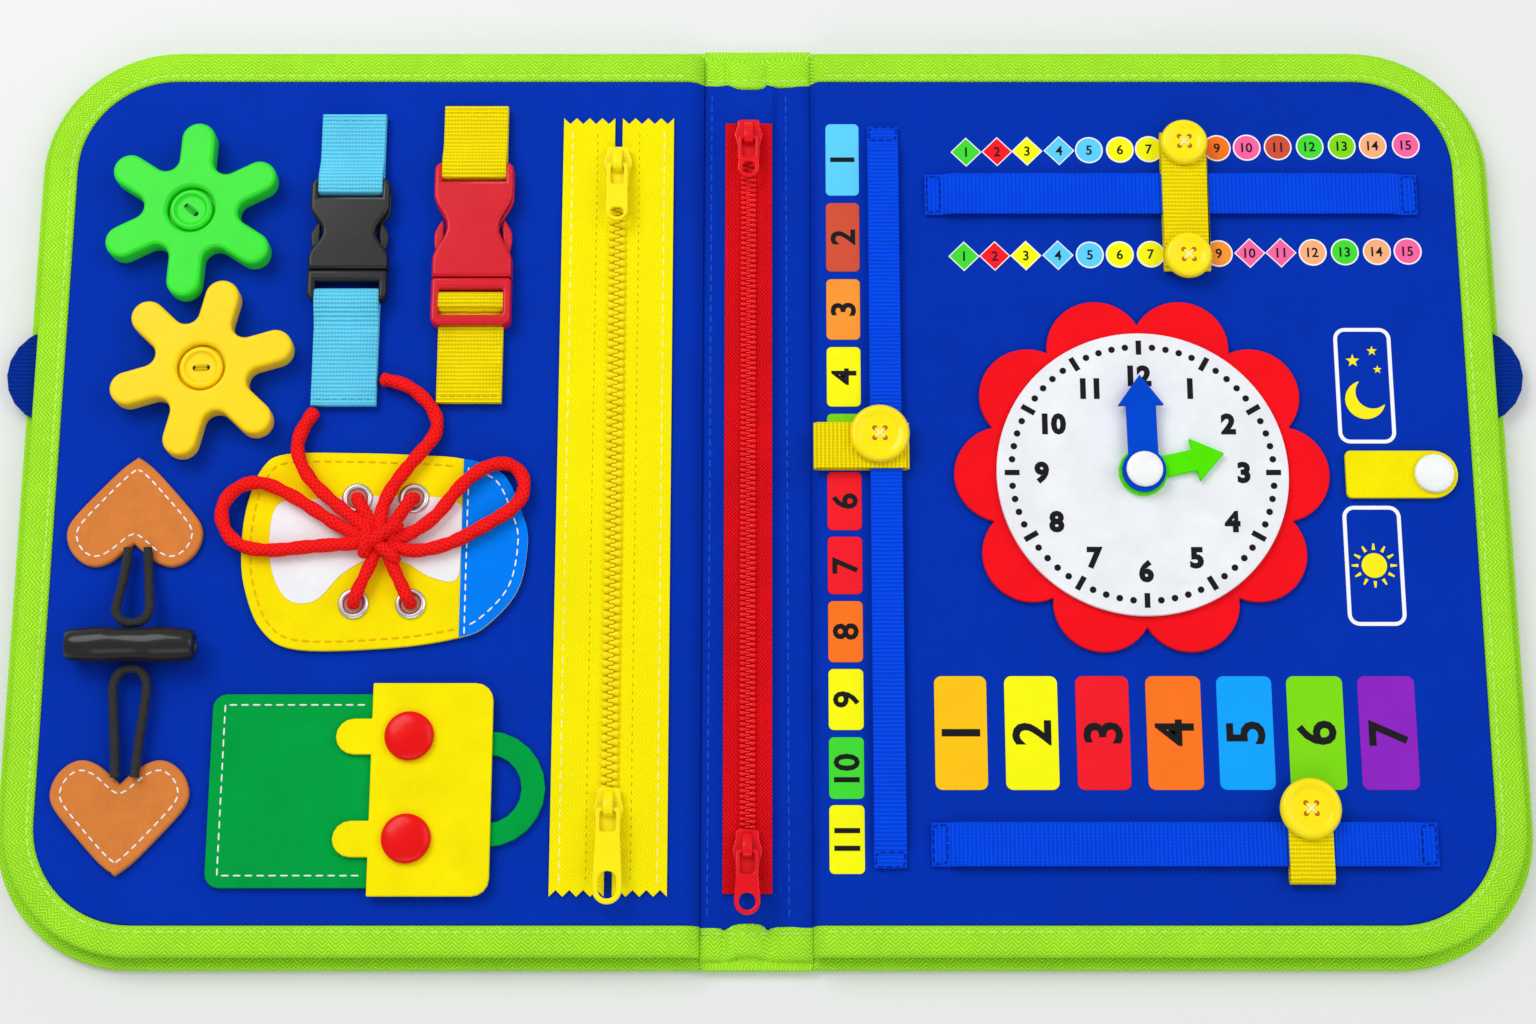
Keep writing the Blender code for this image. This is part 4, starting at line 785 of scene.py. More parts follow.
def eased(y):
    """The share of the fold's height that is kept towards the spine's two ends."""
    share = min(max((abs(y) - 0.1490) / 0.0130, 0.0), 1.0)
    return 1.0 - 0.62 * share * share * (3 - 2 * share)


def pad_bend(point, normal):
    if point.z < 0.0036:
        return Vector()
    return Vector((0, 0, (point.z - fold_base) * (eased(point.y) - 1.0)))


cloth("spine", lining, "blue_felt", round_off=0.0008, cell=0.004, bend=pad_bend)


# The fold: soft cloth and bindings between the pages
def level_on(profile, x):
    for (low_x, low_z), (high_x, high_z) in zip(profile, profile[1:]):
        if low_x <= x <= high_x:
            return low_z + (high_z - low_z) * (x - low_x) / (high_x - low_x)
    return profile[-1][1]


def draped(name, profile, sections, matter, joint=None, seam=()):
    """A soft strip over the spine: its height across the fold, and the share of that height kept
    at each place along it, less in the middle of the fold than at its sides."""
    base = fold_base
    first_y, last_y = sections[0][0], sections[-1][0]
    at_end = first_y * last_y > 0 and max(abs(first_y), abs(last_y)) > 0.155
    inward = 0 if not at_end else 1 if last_y > 0 else -1
    line = [(point.x, point.z) for point in through([(x, 0, z) for x, z in profile], 4)]
    shape = bmesh.new()
    layer = shape.loops.layers.uv.new("tape")
    grid = []
    for x, z in line:
        middle = min(max(1.0 - max(-0.0120 - x, x - 0.0005) / 0.011, 0.25), 1.0)
        dip = inward * 0.0014 * exp(-((x + 0.0060) / 0.0060) ** 4)
        tops = []
        for y, keep in sections:
            share = keep if abs(y) > 0.1595 else 1 - (1 - keep) * middle
            pucker = 0.00016 * noise.noise(Vector((x * 90, y * 55, 3.0))) * keep
            tops.append(shape.verts.new((x, y - dip, base + (z - base) * share + pucker)))
        grid.append((tops, [shape.verts.new((x, y, base - 0.0001)) for y, keep in sections]))
    for (first, first_low), (second, second_low) in zip(grid, grid[1:]):
        for step in range(len(sections) - 1):
            shape.faces.new((first[step], second[step], second[step + 1], first[step + 1]))
            shape.faces.new((first_low[step], first_low[step + 1],
                             second_low[step + 1], second_low[step]))
        for step in (0, -1):
            shape.faces.new((first[step], first_low[step], second_low[step], second[step]))
    for tops, lows in (grid[0], grid[-1]):
        for step in range(len(sections) - 1):
            shape.faces.new((tops[step], tops[step + 1], lows[step + 1], lows[step]))
    for face in shape.faces:
        for loop in face.loops:
            loop[layer].uv = (loop.vert.co.x, loop.vert.co.y + loop.vert.co.z)
    pieces = [closed_up(name, shape, matter, "spine", (), 50)]
    for row, (points, yarn_matter) in enumerate(seam):
        spots = [Vector((x, y, level_on(line, x) + 0.00005)) for x, y in points]
        pieces.append(stitched(f"{name}_seam_{row + 1}", [spots], yarn_matter, "spine", 0.0040,
                               0.0028, 0.00030))
    for piece in pieces if joint else ():
        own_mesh(piece)


def spread(points, y, spacing=0.004):
    """The points of a profile as a route along X, close enough for a seam to follow it."""
    count = ceil((points[-1][0] - points[0][0]) / spacing)
    return [(points[0][0] + (points[-1][0] - points[0][0]) * step / count, y)
            for step in range(count + 1)]


lengthwise = [(y, eased(y)) for y in (0.1594 * (step / 48 - 1) for step in range(97))]
draped("fold_cloth_left", ((-0.02303, 0.0055), (-0.0222, 0.0056), (-0.0190, 0.0056),
                           (-0.0168, 0.0061), (-0.0152, 0.00688)),
       lengthwise, page_cloth, "left_fold",
       ((((-0.0202, 0.156), (-0.0204, -0.156)), thread_sky),))
draped("fold_cloth_middle", ((-0.0152, 0.00688), (-0.0060, 0.0070), (0.0027, 0.0067)), lengthwise,
       page_cloth, None)
draped("fold_cloth_right", ((0.0027, 0.0067), (0.0036, 0.0057), (0.0050, 0.0046), (0.0064, 0.0045),
                            (0.0086, 0.0050), (0.0120, 0.0055), (0.0160, 0.0056), (0.01703, 0.0055)),
       lengthwise, page_cloth, "right_fold",
       ((((0.0078, 0.156), (0.0086, -0.156)), thread_sky),))
band_left = ((-0.02303, 0.0053), (-0.0222, 0.0053), (-0.0180, 0.0053), (-0.0158, 0.0051),
             (-0.0146, 0.0043), (-0.0134, 0.0049), (-0.0115, 0.0057), (-0.0100, 0.0059))
band_right = ((-0.0100, 0.0059), (-0.0060, 0.0062), (-0.0020, 0.0059), (-0.0002, 0.0051),
              (0.0010, 0.0043), (0.0024, 0.0051), (0.0042, 0.0053), (0.0120, 0.0054),
              (0.0160, 0.0054), (0.01703, 0.0054))
for end in (1, -1):
    name = "spine_band_" + ("upper" if end > 0 else "lower")
    shape = bmesh.new()
    low_y, high_y = (0.1632, 0.1741)[::end]
    cast(shape, [rounded(-0.02285, end * low_y, 0.01685, end * high_y, 0.0003)], -0.0001, 0.00354,
         0.0003)
    joined(name, shape, lime, "spine", (), 50)
    across = [(end * y / 1e4, keep) for y, keep in (
        (1590, 0.30), (1594, 0.80), (1600, 1.0), (1609, 1.0), (1622, 0.93), (1640, 1.0),
        (1664, 1.03), (1688, 1.0), (1701, 0.88), (1708, 0.60), (1712, 0.22), (1718, 0.16),
        (1732, 0.14), (1742, 0.02))][::end]
    for word, profile, joint in (("left", band_left, "left_fold"),
                                 ("right", band_right, "right_fold")):
        draped(f"{name}_{word}", profile, across, lime_tape, joint,
               ((spread(profile, end * 0.1614), thread_lime),))


# Gears and their buttons
def gear_outline(centre_x, centre_y, turn):
    """Six round ended arms joined by round hollows."""
    found = []
    for angle in (turn + 60 * arm for arm in range(6)):
        for radius, half, start, end, steps, at in (
                (0.0279, 0.0063, angle - 90, angle + 90, 18, angle),
                (0.0226, 0.0050, angle + 270, angle + 150, 10, angle + 30)):
            found += arc(centre_x + radius * cos(radians(at)), centre_y + radius * sin(radians(at)),
                         half, start, end, steps)
    return found


for colour, matter, yarn_matter, x, y, turn, lie_turn in (
        ("green", green_plastic, thread_green, -0.2136, 0.1046, 27.0, -0.7),
        ("yellow", yellow_plastic, thread_ochre, -0.2067, 0.0432, 16.8, 0.05)):
    name = colour + "_gear"
    shape = bmesh.new()
    cast(shape, [gear_outline(x, y, turn), arc(x, y, 0.0088, 0, 352.5, 47)], item_low, 0.0193,
         0.0014)
    cast(shape, [arc(x, y, 0.0092, 0, 352.5, 47), arc(x, y, 0.0053, 0, 352.5, 47)], 0.0110, 0.0159,
         0.0002)
    joined(name + "_cast", shape, matter, name, (name,), 55)
    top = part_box(name + "_button")[1][2]
    rim = [(radius, top - deep) for radius, deep in (
        (0.00005, 0.0010), (0.0050, 0.0010), (0.0058, 0.0007), (0.0062, 0.0001), (0.0069, 0.0),
        (0.0076, 0.0002), (0.0080, 0.0009), (0.0080, 0.0022), (0.00005, 0.0022))]
    turned(name + "_button_cast", rim, [(x, y, 0)], matter, "left_page", (), 48)
    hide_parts(name + "_button")
    side, across = compass(lie_turn)
    centre = Vector((x, y, top - 0.0008))
    # Black discs in the button's two holes: painted shade in the holes.
    turned(name + "_painted_hole_shade", [(0.00005, 0.0), (0.0011, 0.0), (0.0011, 0.00008), (0.00005, 0.00008)],
           [centre + side * reach - Vector((0, 0, 0.0002)) for reach in (-0.0021, 0.0021)], ink,
           "left_page", (), 16)
    stitched(name + "_thread", [[centre - side * 0.0023 + across * shift, centre + side * 0.0023
                                 + across * shift] for shift in (-0.0006, 0.0006)], yarn_matter,
             "left_page", 0.0052, 0.0048, 0.00062)


# Buckles: the socket's two plates, end and mouth walls, the clip with its prongs, and their bars
def oblong(low_x, low_y, high_x, high_y):
    return [(low_x, low_y), (high_x, low_y), (high_x, high_y), (low_x, high_y)]


def buckle(colour, matter, x, mouth_y, body_long, slot, bar, rail_gap=0.0, rail_wide=0.0):
    half, ear_in, low, high = 0.01475, 0.01175, item_low, 0.0174
    body_top = mouth_y + body_long
    bar_near, bar_far = body_top + 0.0045, body_top + 0.0075
    side = [(half - 0.0008, mouth_y), (half, mouth_y + 0.0010), (half, mouth_y + body_long * 0.14)]
    side += [(half - 0.0050 * sin(pi * step / 24) ** 2,
              mouth_y + body_long * (0.17 + 0.70 * step / 24)) for step in range(1, 24)]
    side += [(half, mouth_y + body_long * 0.92)]
    corner = arc(half - 0.003, bar_far - 0.003, 0.003, 0, 90, 6)
    ears = [(point.x, point.y) for point in corner]
    ears += [(ear_in, bar_far), (ear_in, body_top)]
    shape = bmesh.new()
    outline = mirrored([*side, *ears], x)
    cast(shape, [outline], high - 0.0026, high, 0.00125)
    cast(shape, [outline], low, low + 0.0016, 0.0006)
    end_side = [(half - 0.0008, mouth_y + body_long * 0.84)]
    end_side += [(across + (-0.0002 if across > ear_in else 0.0002), y - 0.0002)
                 for across, y in ears]
    cast(shape, [mirrored(end_side, x)], low + 0.0006, high - 0.0007, 0.0003)
    for way in (-1, 1):
        wall = oblong(x + way * (half - 0.0014), mouth_y + 0.0002, x + way * (half - 0.0001),
                      mouth_y + body_long * 0.19)
        cast(shape, [wall], low + 0.0008, high - 0.0009, 0.0002)
    rod_reach, rod_low, rod_high = ear_in + 0.0006, 0.0131, 0.0157
    cast(shape, [oblong(x - rod_reach, bar_near, x + rod_reach, bar_far)], rod_low, rod_high, 0.0008)
    joined(colour + "_socket_cast", shape, matter, colour + "_socket",
           (colour + "_buckle_socket",), 50)

    base_top, shape = mouth_y - 0.0004, bmesh.new()
    base_low = base_top - 0.0042
    bar_high = base_low - slot
    bar_low = bar_high - bar
    frame_low = bar_low - rail_gap - rail_wide
    corner = [(point.x, point.y) for point in arc(half - 0.003, frame_low + 0.003, 0.003, -90, 0, 6)]
    shell = [*corner, (half, base_top - 0.0008), (half - 0.0008, base_top)]
    legs = [(ear_in, base_low), (ear_in, frame_low), *shell]
    if rail_wide:
        opening = rounded(x - ear_in, frame_low + rail_wide, x + ear_in, base_low, 0.0010)
        cast(shape, [mirrored(shell, x), opening], 0.0149, high, 0.0012)
        cast(shape, [mirrored(legs, x)], low, 0.0157, 0.0005)
    else:
        cast(shape, [mirrored(legs, x)], low, high, 0.0012)
    cast(shape, [oblong(x - rod_reach, bar_low, x + rod_reach, bar_high)], rod_low, rod_high, 0.0008)
    stretch = 1.0 + (body_long / 0.0285 - 1.0) * 0.6
    prong = [(11.3, -2.0), (13.0, -2.0), (13.0, 5.5), (13.3, 8.0), (14.2, 10.5), (14.5, 13.0),
             (14.2, 15.5), (13.0, 17.6), (11.9, 19.0), (10.9, 18.6), (10.9, 16.0), (11.2, 10.0)]
    for way in (-1, 1):
        bent = through([(x + way * across / 1000, mouth_y + up * stretch / 1000, 0)
                        for across, up in prong], 3, True)
        cast(shape, [bent[::way]], 0.0126, 0.0146, 0.0007)
    tongue = [(0.0022, base_top - 0.001), (0.0022, mouth_y + 0.004), (0.0017, mouth_y + 0.010)]
    cast(shape, [mirrored(tongue, x)], 0.0127, 0.0146, 0.0005)
    joined(colour + "_clip_cast", shape, matter, "left_page", (colour + "_buckle_clip",), 50)
    return bar_near, bar_far, bar_low, bar_high


def strap(name, matter, x, far_y, near_y, away_y, drop, loose=0.00115):
    """A webbing loop: under a bar, round its near side and back on itself to its sewn end."""
    way = 1 if far_y > near_y else -1
    turn = near_y - way * loose
    path = [(far_y, 0.01195), (turn + way * 0.004, 0.01195), (turn + way * 0.0010, 0.01205),
            (turn, 0.0130), (turn, 0.0158), (turn + way * 0.0010, 0.01675),
            (away_y + way * 0.0008, 0.01685), (away_y + way * drop * 0.5, 0.01545),
            (away_y + way * drop, 0.0138), (away_y + way * (drop + 0.006), 0.01355),
            (far_y + way * 0.0001, 0.01350)]
    line = through([(0, y, z) for y, z in path], 6)
    total, at = along(line)
    count = ceil(total / 0.0012)
    shape, rings = bmesh.new(), []
    for step in range(count + 1):
        spot, ahead = at(total * step / count)
        up = Vector((0, -ahead.z, ahead.y))
        flutter = 0.00012 * noise.noise(Vector((x * 50, spot.y * 60, spot.z * 80)))
        rings.append([shape.verts.new(spot + Vector((x + across, 0, 0)) + up * (lift + flutter))
                      for across, lift in (
                          (-0.0120, -0.00035), (-0.0117, -0.00068), (0.0117, -0.00068),
                          (0.0120, -0.00035), (0.0120, 0.00035), (0.0117, 0.00072),
                          (0.0040, 0.00068), (-0.0040, 0.00068), (-0.0117, 0.00072),
                          (-0.0120, 0.00035))])
    wrapped(shape, rings)
    body = frame["nodes"][name]["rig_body"]
    joined(name + "_webbing", shape, matter, body, (name,), 50)
    sewn = far_y - way * 0.0022
    stitched(name + "_end", [[Vector((x + reach, sewn, 0.0143)) for reach in (-0.0108, 0.0108)]],
             matter, body, 0.0030, 0.0021, 0.00024)


for colour, word, matter, web, slot, x, sizes, far_upper, far_lower, drop in (
        ("black", "blue", black_plastic, pale_web, "pale_blue_webbing", -0.1548,
         (0.0817, 0.0285, 0.0045, 0.0030), 0.1440, 0.0301, 0.008),
        ("red", "yellow", red_plastic, yellow_web, "yellow_webbing", -0.1088,
         (0.0787, 0.0377, 0.0030, 0.0025, 0.0046, 0.0040), 0.1473, 0.0312, 0.0038)):
    bars = buckle(colour, matter, x, *sizes)
    strap(word + "_strap_upper", web, x, far_upper, bars[0], bars[1], 0.008, 0.0026)
    strap(word + "_strap_lower", web, x, far_lower, bars[3], bars[2], drop)


# Lacing patch: coloured panels, eyelets and stitching
patch_x, patch_y, patch_half_x, patch_half_y, patch_top = -0.1385, -0.0244, 0.0535, 0.0366, 0.0126
patch_shares = ((-0.68, 0.99), (-0.20, 1.00), (0.20, 0.98), (0.53, 0.94), (0.80, 0.78), (0.94, 0.37),
                (0.98, 0.08), (0.92, -0.40), (0.72, -0.75), (0.53, -0.88), (0.09, -0.98),
                (-0.55, -1.00), (-0.80, -0.80), (-0.93, -0.36), (-0.96, 0.07), (-0.93, 0.50),
                (-0.84, 0.85))
patch_rim = through([(patch_x + across * patch_half_x, patch_y + up * patch_half_y, 0)
                     for across, up in patch_shares], 6, True)
toe_x = -0.1097
shape = bmesh.new()
cast(shape, [patch_rim], item_low, patch_top, 0.0005)
joined("patch_sole", shape, felt("patch_yellow", (0.94, 0.76, 0.001)), "left_page",
       ("lacing_patch",), 50)
plates("patch_toe", [cut(drawn_in(patch_rim, 0.0002), toe_x, True)], patch_top - 0.0004,
       patch_top + 0.0003, felt("patch_blue", (0.0, 0.20, 0.88)), "left_page", 0.0003)
cloud = through([(x / 1000, y / 1000, 0) for x, y in (
    (-177.0, -7.6), (-164.0, -5.6), (-146.0, -4.6), (-128.0, -4.4), (-112.4, -6.4), (-110.4, -14.0),
    (-110.4, -26.0), (-112.0, -35.4), (-121.0, -34.0), (-131.0, -28.4), (-143.0, -27.6),
    (-153.0, -33.0), (-162.0, -42.6), (-171.0, -43.0), (-177.0, -35.0), (-179.4, -22.0))], 6, True)
cloud = [Vector((min(point.x, toe_x - 0.0002), point.y, 0)) for point in cloud]
plates("patch_cloud", [cloud], patch_top - 0.0004, patch_top + 0.00025,
       felt("patch_white", (0.85, 0.86, 0.88)), "left_page", 0.00025)
seam = lifted(drawn_in(patch_rim, 0.0034), patch_top + 0.0002)
patch_stitch = (0.0040, 0.0026, 0.00030)
stitched("patch_seam", [opened([point for point in seam if point.x < toe_x - 0.0012])], thread_amber,
         "left_page", *patch_stitch)
toe_routes = (opened([point for point in seam if point.x > toe_x + 0.0020]),
              ((toe_x + 0.0016, 0.0072), (toe_x + 0.0016, -0.0560)))
stitched("toe_seam", [lifted(route, patch_top + 0.0005) for route in toe_routes], thread_white,
         "left_page", *patch_stitch)
eyelet_spots = [(x, y, 0) for x in (-0.1483, -0.1277) for y in (-0.0051, -0.0443)]
rim = [(0.0045 - 0.0012 * cos(radians(turn)), 0.0128 + 0.0010 * sin(radians(turn)))
       for turn in range(0, 181, 20)]
turned("eyelets", [(0.0032, 0.0112), *rim, (0.0056, 0.0124), (0.0032, 0.0112)], eyelet_spots, steel,
       "left_page", steps=36)
# A brown plug fills each eyelet's hole round the lace: painted shade in the hole.
well_top = patch_top + 0.0004
turned("eyelet_wells", [(0.0034, 0.0120), (0.0034, well_top), (0.00005, well_top)], eyelet_spots,
       painted_eyelet_shade, "left_page", steps=24)

# Lace, tied in a bow: one braid in four free lengths, four runs to the eyelets and the knot
lace_r = 0.0026
lie, over, page_lie, knot_z = 0.0155, 0.0164, 0.0137, 0.0181
routes = {
    "left_loop": ((-0.1400, -0.0214, knot_z), (-0.1470, -0.0195, lie), (-0.1536, -0.0163, lie),
                  (-0.1618, -0.0111, lie), (-0.1722, -0.0044, lie), (-0.1855, 0.0009, lie),
                  (-0.1955, -0.0050, lie), (-0.1972, -0.0133, lie), (-0.1915, -0.0226, lie),
                  (-0.1796, -0.0252, lie), (-0.1652, -0.0237, lie), (-0.1500, -0.0226, lie),
                  (-0.1400, -0.0224, knot_z)),
    "right_loop": ((-0.1376, -0.0214, knot_z), (-0.1303, -0.0200, lie), (-0.1190, -0.0122, lie),
                   (-0.1117, -0.0021, lie), (-0.1021, 0.0061, lie), (-0.0924, 0.0080, page_lie),
                   (-0.0871, 0.0009, page_lie), (-0.0898, -0.0081, lie), (-0.0998, -0.0148, lie),
                   (-0.1140, -0.0226, lie), (-0.1280, -0.0255, lie), (-0.1376, -0.0228, knot_z)),
    "left_tail": ((-0.1400, -0.0206, knot_z), (-0.1480, -0.0140, over), (-0.1583, -0.0058, over),
                  (-0.1667, 0.0030, over), (-0.1708, 0.0125, lie), (-0.1696, 0.0205, page_lie),
                  (-0.1646, 0.0286, page_lie)),
    "right_tail": ((-0.1386, -0.0205, knot_z), (-0.1392, -0.0103, lie), (-0.1346, -0.0002, lie),
                   (-0.1240, 0.0135, lie), (-0.1198, 0.0195, page_lie), (-0.1200, 0.0255, page_lie),
                   (-0.1245, 0.0320, page_lie), (-0.1320, 0.0380, page_lie),
                   (-0.1417, 0.0401, page_lie)),
}
for name, route in routes.items():
    mesh, centres, total = braided("lace_" + name, through(route), lace_r, taper=0.0012, ease=24)
    piece = show("lace_" + name, mesh, lace_red, "left_page", ("lace",), 60)
knot_at = Vector((-0.1386, -0.0220, knot_z))
for index, (x, y, _) in enumerate(eyelet_spots):
    pull = Vector((knot_at.x - x, knot_at.y - y, 0)).normalized()
    rise = [Vector((x, y, 0.0118)), Vector((x, y, 0.0142)) + pull * 0.0003,
            Vector((x, y, 0.0160)) + pull * 0.0018, Vector((x, y, over)) + pull * 0.0054,
            Vector((knot_at.x, knot_at.y, lie + 0.0008)) - pull * 0.0028]
    mesh, _, _ = braided(f"lace_run_{index + 1}", through(rise), lace_r * 0.94)
    show(f"lace_run_{index + 1}", mesh, lace_red, "left_page", (), 60)
for index, (turn, half, rise, sink, x, y) in enumerate((
        (36, 0.0066, 0.0040, 0.0008, 0.0006, 0.0018), (-40, 0.0060, 0.0018, 0.0006, 0.0012, -0.0032),
        (82, 0.0046, 0.0030, 0.0012, -0.0052, 0.0))):
    way = compass(radians(turn))[0]
    wrap = [knot_at + Vector((x, y, 0)) - way * half * cos(radians(bow))
            + Vector((0, 0, rise * sin(radians(bow)) - sink)) for bow in range(-20, 201, 20)]
    mesh, _, _ = braided(f"lace_wrap_{index + 1}", wrap, lace_r * 0.96, taper=0.001)
    show(f"lace_wrap_{index + 1}", mesh, lace_red, "left_page", (), 60)


# Hearts, toggle and cords
heart_x = -0.2287
half_heart = through([(across, up, 0) for across, up in (
    (0.0, 0.0), (5.9, 4.6), (13.5, 12.6), (20.4, 20.4), (23.6, 24.9), (24.6, 28.6), (24.0, 32.4),
    (22.0, 36.3), (18.2, 39.7), (13.5, 41.0), (8.2, 39.3), (3.4, 35.6), (0.0, 32.5))], 5)


def heart(tip_y, way, inset=0.0):
    """A heart's outline from its tip, moved inwards by inset."""
    shifted = []
    for index, point in enumerate(half_heart):
        run = half_heart[min(index + 1, len(half_heart) - 1)] - half_heart[max(index - 1, 0)]
        shifted.append(point + Vector((-run.y, run.x, 0)).normalized() * inset * 1000)
    tip = next(index for index, point in enumerate(shifted) if point.x > 0.02 or not inset)
    kept = [point for point in shifted[tip:] if point.x > 0.02]
    ends = (inset * 1414, 32.5 - inset * 1000)
    right = [Vector((0, ends[0], 0)), *kept, Vector((0, ends[1], 0))]
    outline = [Vector((heart_x + point.x / 1000, tip_y - way * point.y / 1000, 0))
               for point in right]
    outline += [Vector((heart_x - point.x / 1000, tip_y - way * point.y / 1000, 0))
                for point in right[-2:0:-1]]
    return outline if way < 0 else outline[::-1]


for name, tip_y, way in (("upper_heart", 0.0106, 1), ("lower_heart", -0.1419, -1)):
    shape = bmesh.new()
    rings = [[shape.verts.new((point.x, point.y, level)) for point in heart(tip_y, way, inset)]
             for inset, level in ((0, item_low), (0, 0.0123), (0.0003, 0.0127), (0.0009, 0.0129))]
    for first, second in zip(rings, rings[1:]):
        for step in range(len(first)):
            shape.faces.new((first[step - 1], first[step], second[step], second[step - 1]))
    bmesh.ops.triangulate(shape, faces=[shape.faces.new(rings[0][::-1]), shape.faces.new(rings[-1])])
    closed_up(name + "_soft", shape, leather, "left_page", (name,), 50)
    stitched(name + "_seam", [lifted(heart(tip_y, way, 0.0036), 0.01295)], thread_white, "left_page",
             0.0036, 0.0023, 0.00032, closed=True)
toggle_profile = [(0.00005, 0.0222), (0.0030, 0.0222), (0.0034, 0.0228), (0.0050, 0.0227),
                  (0.0056, 0.0219), (0.0060, 0.0190), (0.0065, 0.0140), (0.0067, 0.0095),
                  (0.0064, 0.0065), (0.0061, 0.0035), (0.0060, 0.0)]
toggle_profile += [(radius, -place_on) for radius, place_on in toggle_profile[-2::-1]]
cord_x, cord_r, cord_z, toggle_z = -0.2265, 0.0018, 0.0149, 0.0179
turned("toggle_round", toggle_profile, [(cord_x, -0.0603, toggle_z)], black_plastic, "toggle",
       ("toggle",), 40, "x")


def cord_loop(start_y, end_y, end_z):
    """Two strands side by side, joined by a bend round the toggle's waist."""
    way = 1 if end_y > start_y else -1
    long = abs(end_y - start_y)
    side = ((0.80, 0, cord_z), (0.98, 0.30, cord_z), (1.24, 0.62, (cord_z + end_z) / 2),
            (1.38, 0.84, end_z), (0.90, 0.965, end_z))
    strands = [[Vector((cord_x + bow * wide, start_y + way * long * share, up))
                for wide, share, up in side] for bow in (-0.00432, 0.00432)]
    return [*strands[0], Vector((cord_x, end_y, end_z)), *strands[1][::-1]]


for name, body, start_y, end_y, end_z in (("toggle_cord", "toggle", -0.0240, -0.0523, toggle_z),
                                          ("catch_cord", "left_page", -0.1073, -0.0683, cord_z)):
    mesh, centres, total = braided(name + "_braid", through(cord_loop(start_y, end_y, end_z)),
                                   cord_r, sides=12)
    piece = show(name + "_braid", mesh, cord_black, body, (name,), 60)

# Pocket, flap and snap caps
cloth("pocket", green_felt, "green_felt", round_off=0.0004, cell=0.006,
      bend=rough_lift(0.0001, 0.02))
cloth("pocket_flap", yellow_felt, "yellow_felt", round_off=0.0004, cell=0.006)
stitched("pocket_seam", [lifted([(-0.1420, -0.0811), (-0.1926, -0.0811), (-0.1926, -0.1418),
                                 (-0.1420, -0.1418)], 0.0127)], thread_white, "left_page")
for name, y in (("snap_cap_upper", -0.0927), ("snap_cap_lower", -0.1291)):
    turned(name + "_dome", dome(0.0088, 0.0150, 0.0161, 0.0184), [(-0.1262, y, 0)], red_gloss,
           "flap", (name,), 56)


# Zips: pinked tapes, moulded teeth, and cast sliders with their pulls
pin_rise = 0.00507


def tape_outline(centre_x, side, half, low_y, high_y, pinks, notch, low_open, high_open):
    """One half of a zip's tape: zigzag ends, and an inner edge that stands open past the sliders."""
    near = 0.0014
    step = (half - near) / pinks
    top = []
    for pink in range(pinks):
        top += [(near + pink * step, 0.0), (near + (pink + 0.5) * step, 1.0)]
    top.append((half, 0.0))
    points = [(across, high_y - notch * deep) for across, deep in top]
    points += [(across, low_y + notch * deep) for across, deep in top[::-1]]
    points += [(near, low_open), (0.00015, low_open + 0.004), (0.00015, high_open - 0.004),
               (near, high_open)]
    return [Vector((centre_x + side * across, up, 0)) for across, up in points]


def tooth(shape, centre_x, side, y, low, high, near, reach, half_y):
    """One moulded tooth: a full bead on the tape's edge and a narrower head past the middle."""
    middle = (low + high) / 2
    tall = (high - low) / 2
    sections = ((near + 0.0003, 0.55, 0.55), (near - 0.0001, 0.95, 0.92), (near * 0.75, 1.0, 1.0),
                (near * 0.50, 0.90, 0.98), (near * 0.25, 0.56, 0.74), (-reach * 0.3, 0.50, 0.70),
                (-reach, 0.40, 0.50))
    wrapped(shape, [[shape.verts.new((centre_x + side * across,
                                      y + half_y * wide * cos(radians(turn)),
                                      middle + tall * thick * sin(radians(turn))))
                     for turn in range(0, 360, 45)] for across, wide, thick in sections])


def slider(name, matter, x, y, base, shift):
    """The slider's two walls, its shield and the bridge that its pull swings in."""
    pin, plate_low = base + pin_rise, base + 0.0017
    right = [(x + across / 1000, y + up / 1000, 0) for across, up in (
        (3.2, -8.0), (4.2, -7.5), (4.4, -4.0 + shift), (5.2, -0.8 + shift), (5.35, 0.6 + shift),
        (5.0, 2.2 + shift), (4.4, 4.4 + shift * 0.6), (4.2, 7.2), (3.2, 8.0))]
    right = through(right, 4)
    outline = right + [Vector((2 * x - point.x, point.y, 0)) for point in right[::-1]]
    shape = bmesh.new()
    cast(shape, [outline], plate_low, plate_low + 0.0016, 0.0006)
    for way in (-1, 1):
        cast(shape, [cut(outline, x + way * 0.0035, way > 0)], base, plate_low + 0.0004, 0.0002)
    arch = through([(y + across / 1000, pin + up / 1000, 0) for across, up in (
        (-2.0, -3.0), (-2.3, -0.6), (-2.0, 0.9), (-0.9, 1.75), (0.9, 1.95), (3.0, 1.5), (5.2, 0.4),
        (6.9, -1.2), (7.4, -3.0))], 3)
    tunnel = through([(y + across / 1000, pin + up / 1000, 0) for across, up in (
        (-1.0, -1.1), (-1.0, 0.2), (-0.4, 0.9), (0.8, 1.0), (2.4, 0.6), (3.8, -0.3), (4.2, -1.1),
        (1.6, -1.3))], 3, True)
    cast(shape, [arch, tunnel], x - 0.00175, x + 0.00175, 0.0004, "x")
    joined(name + "_cast", shape, matter, name, (name,), 50)


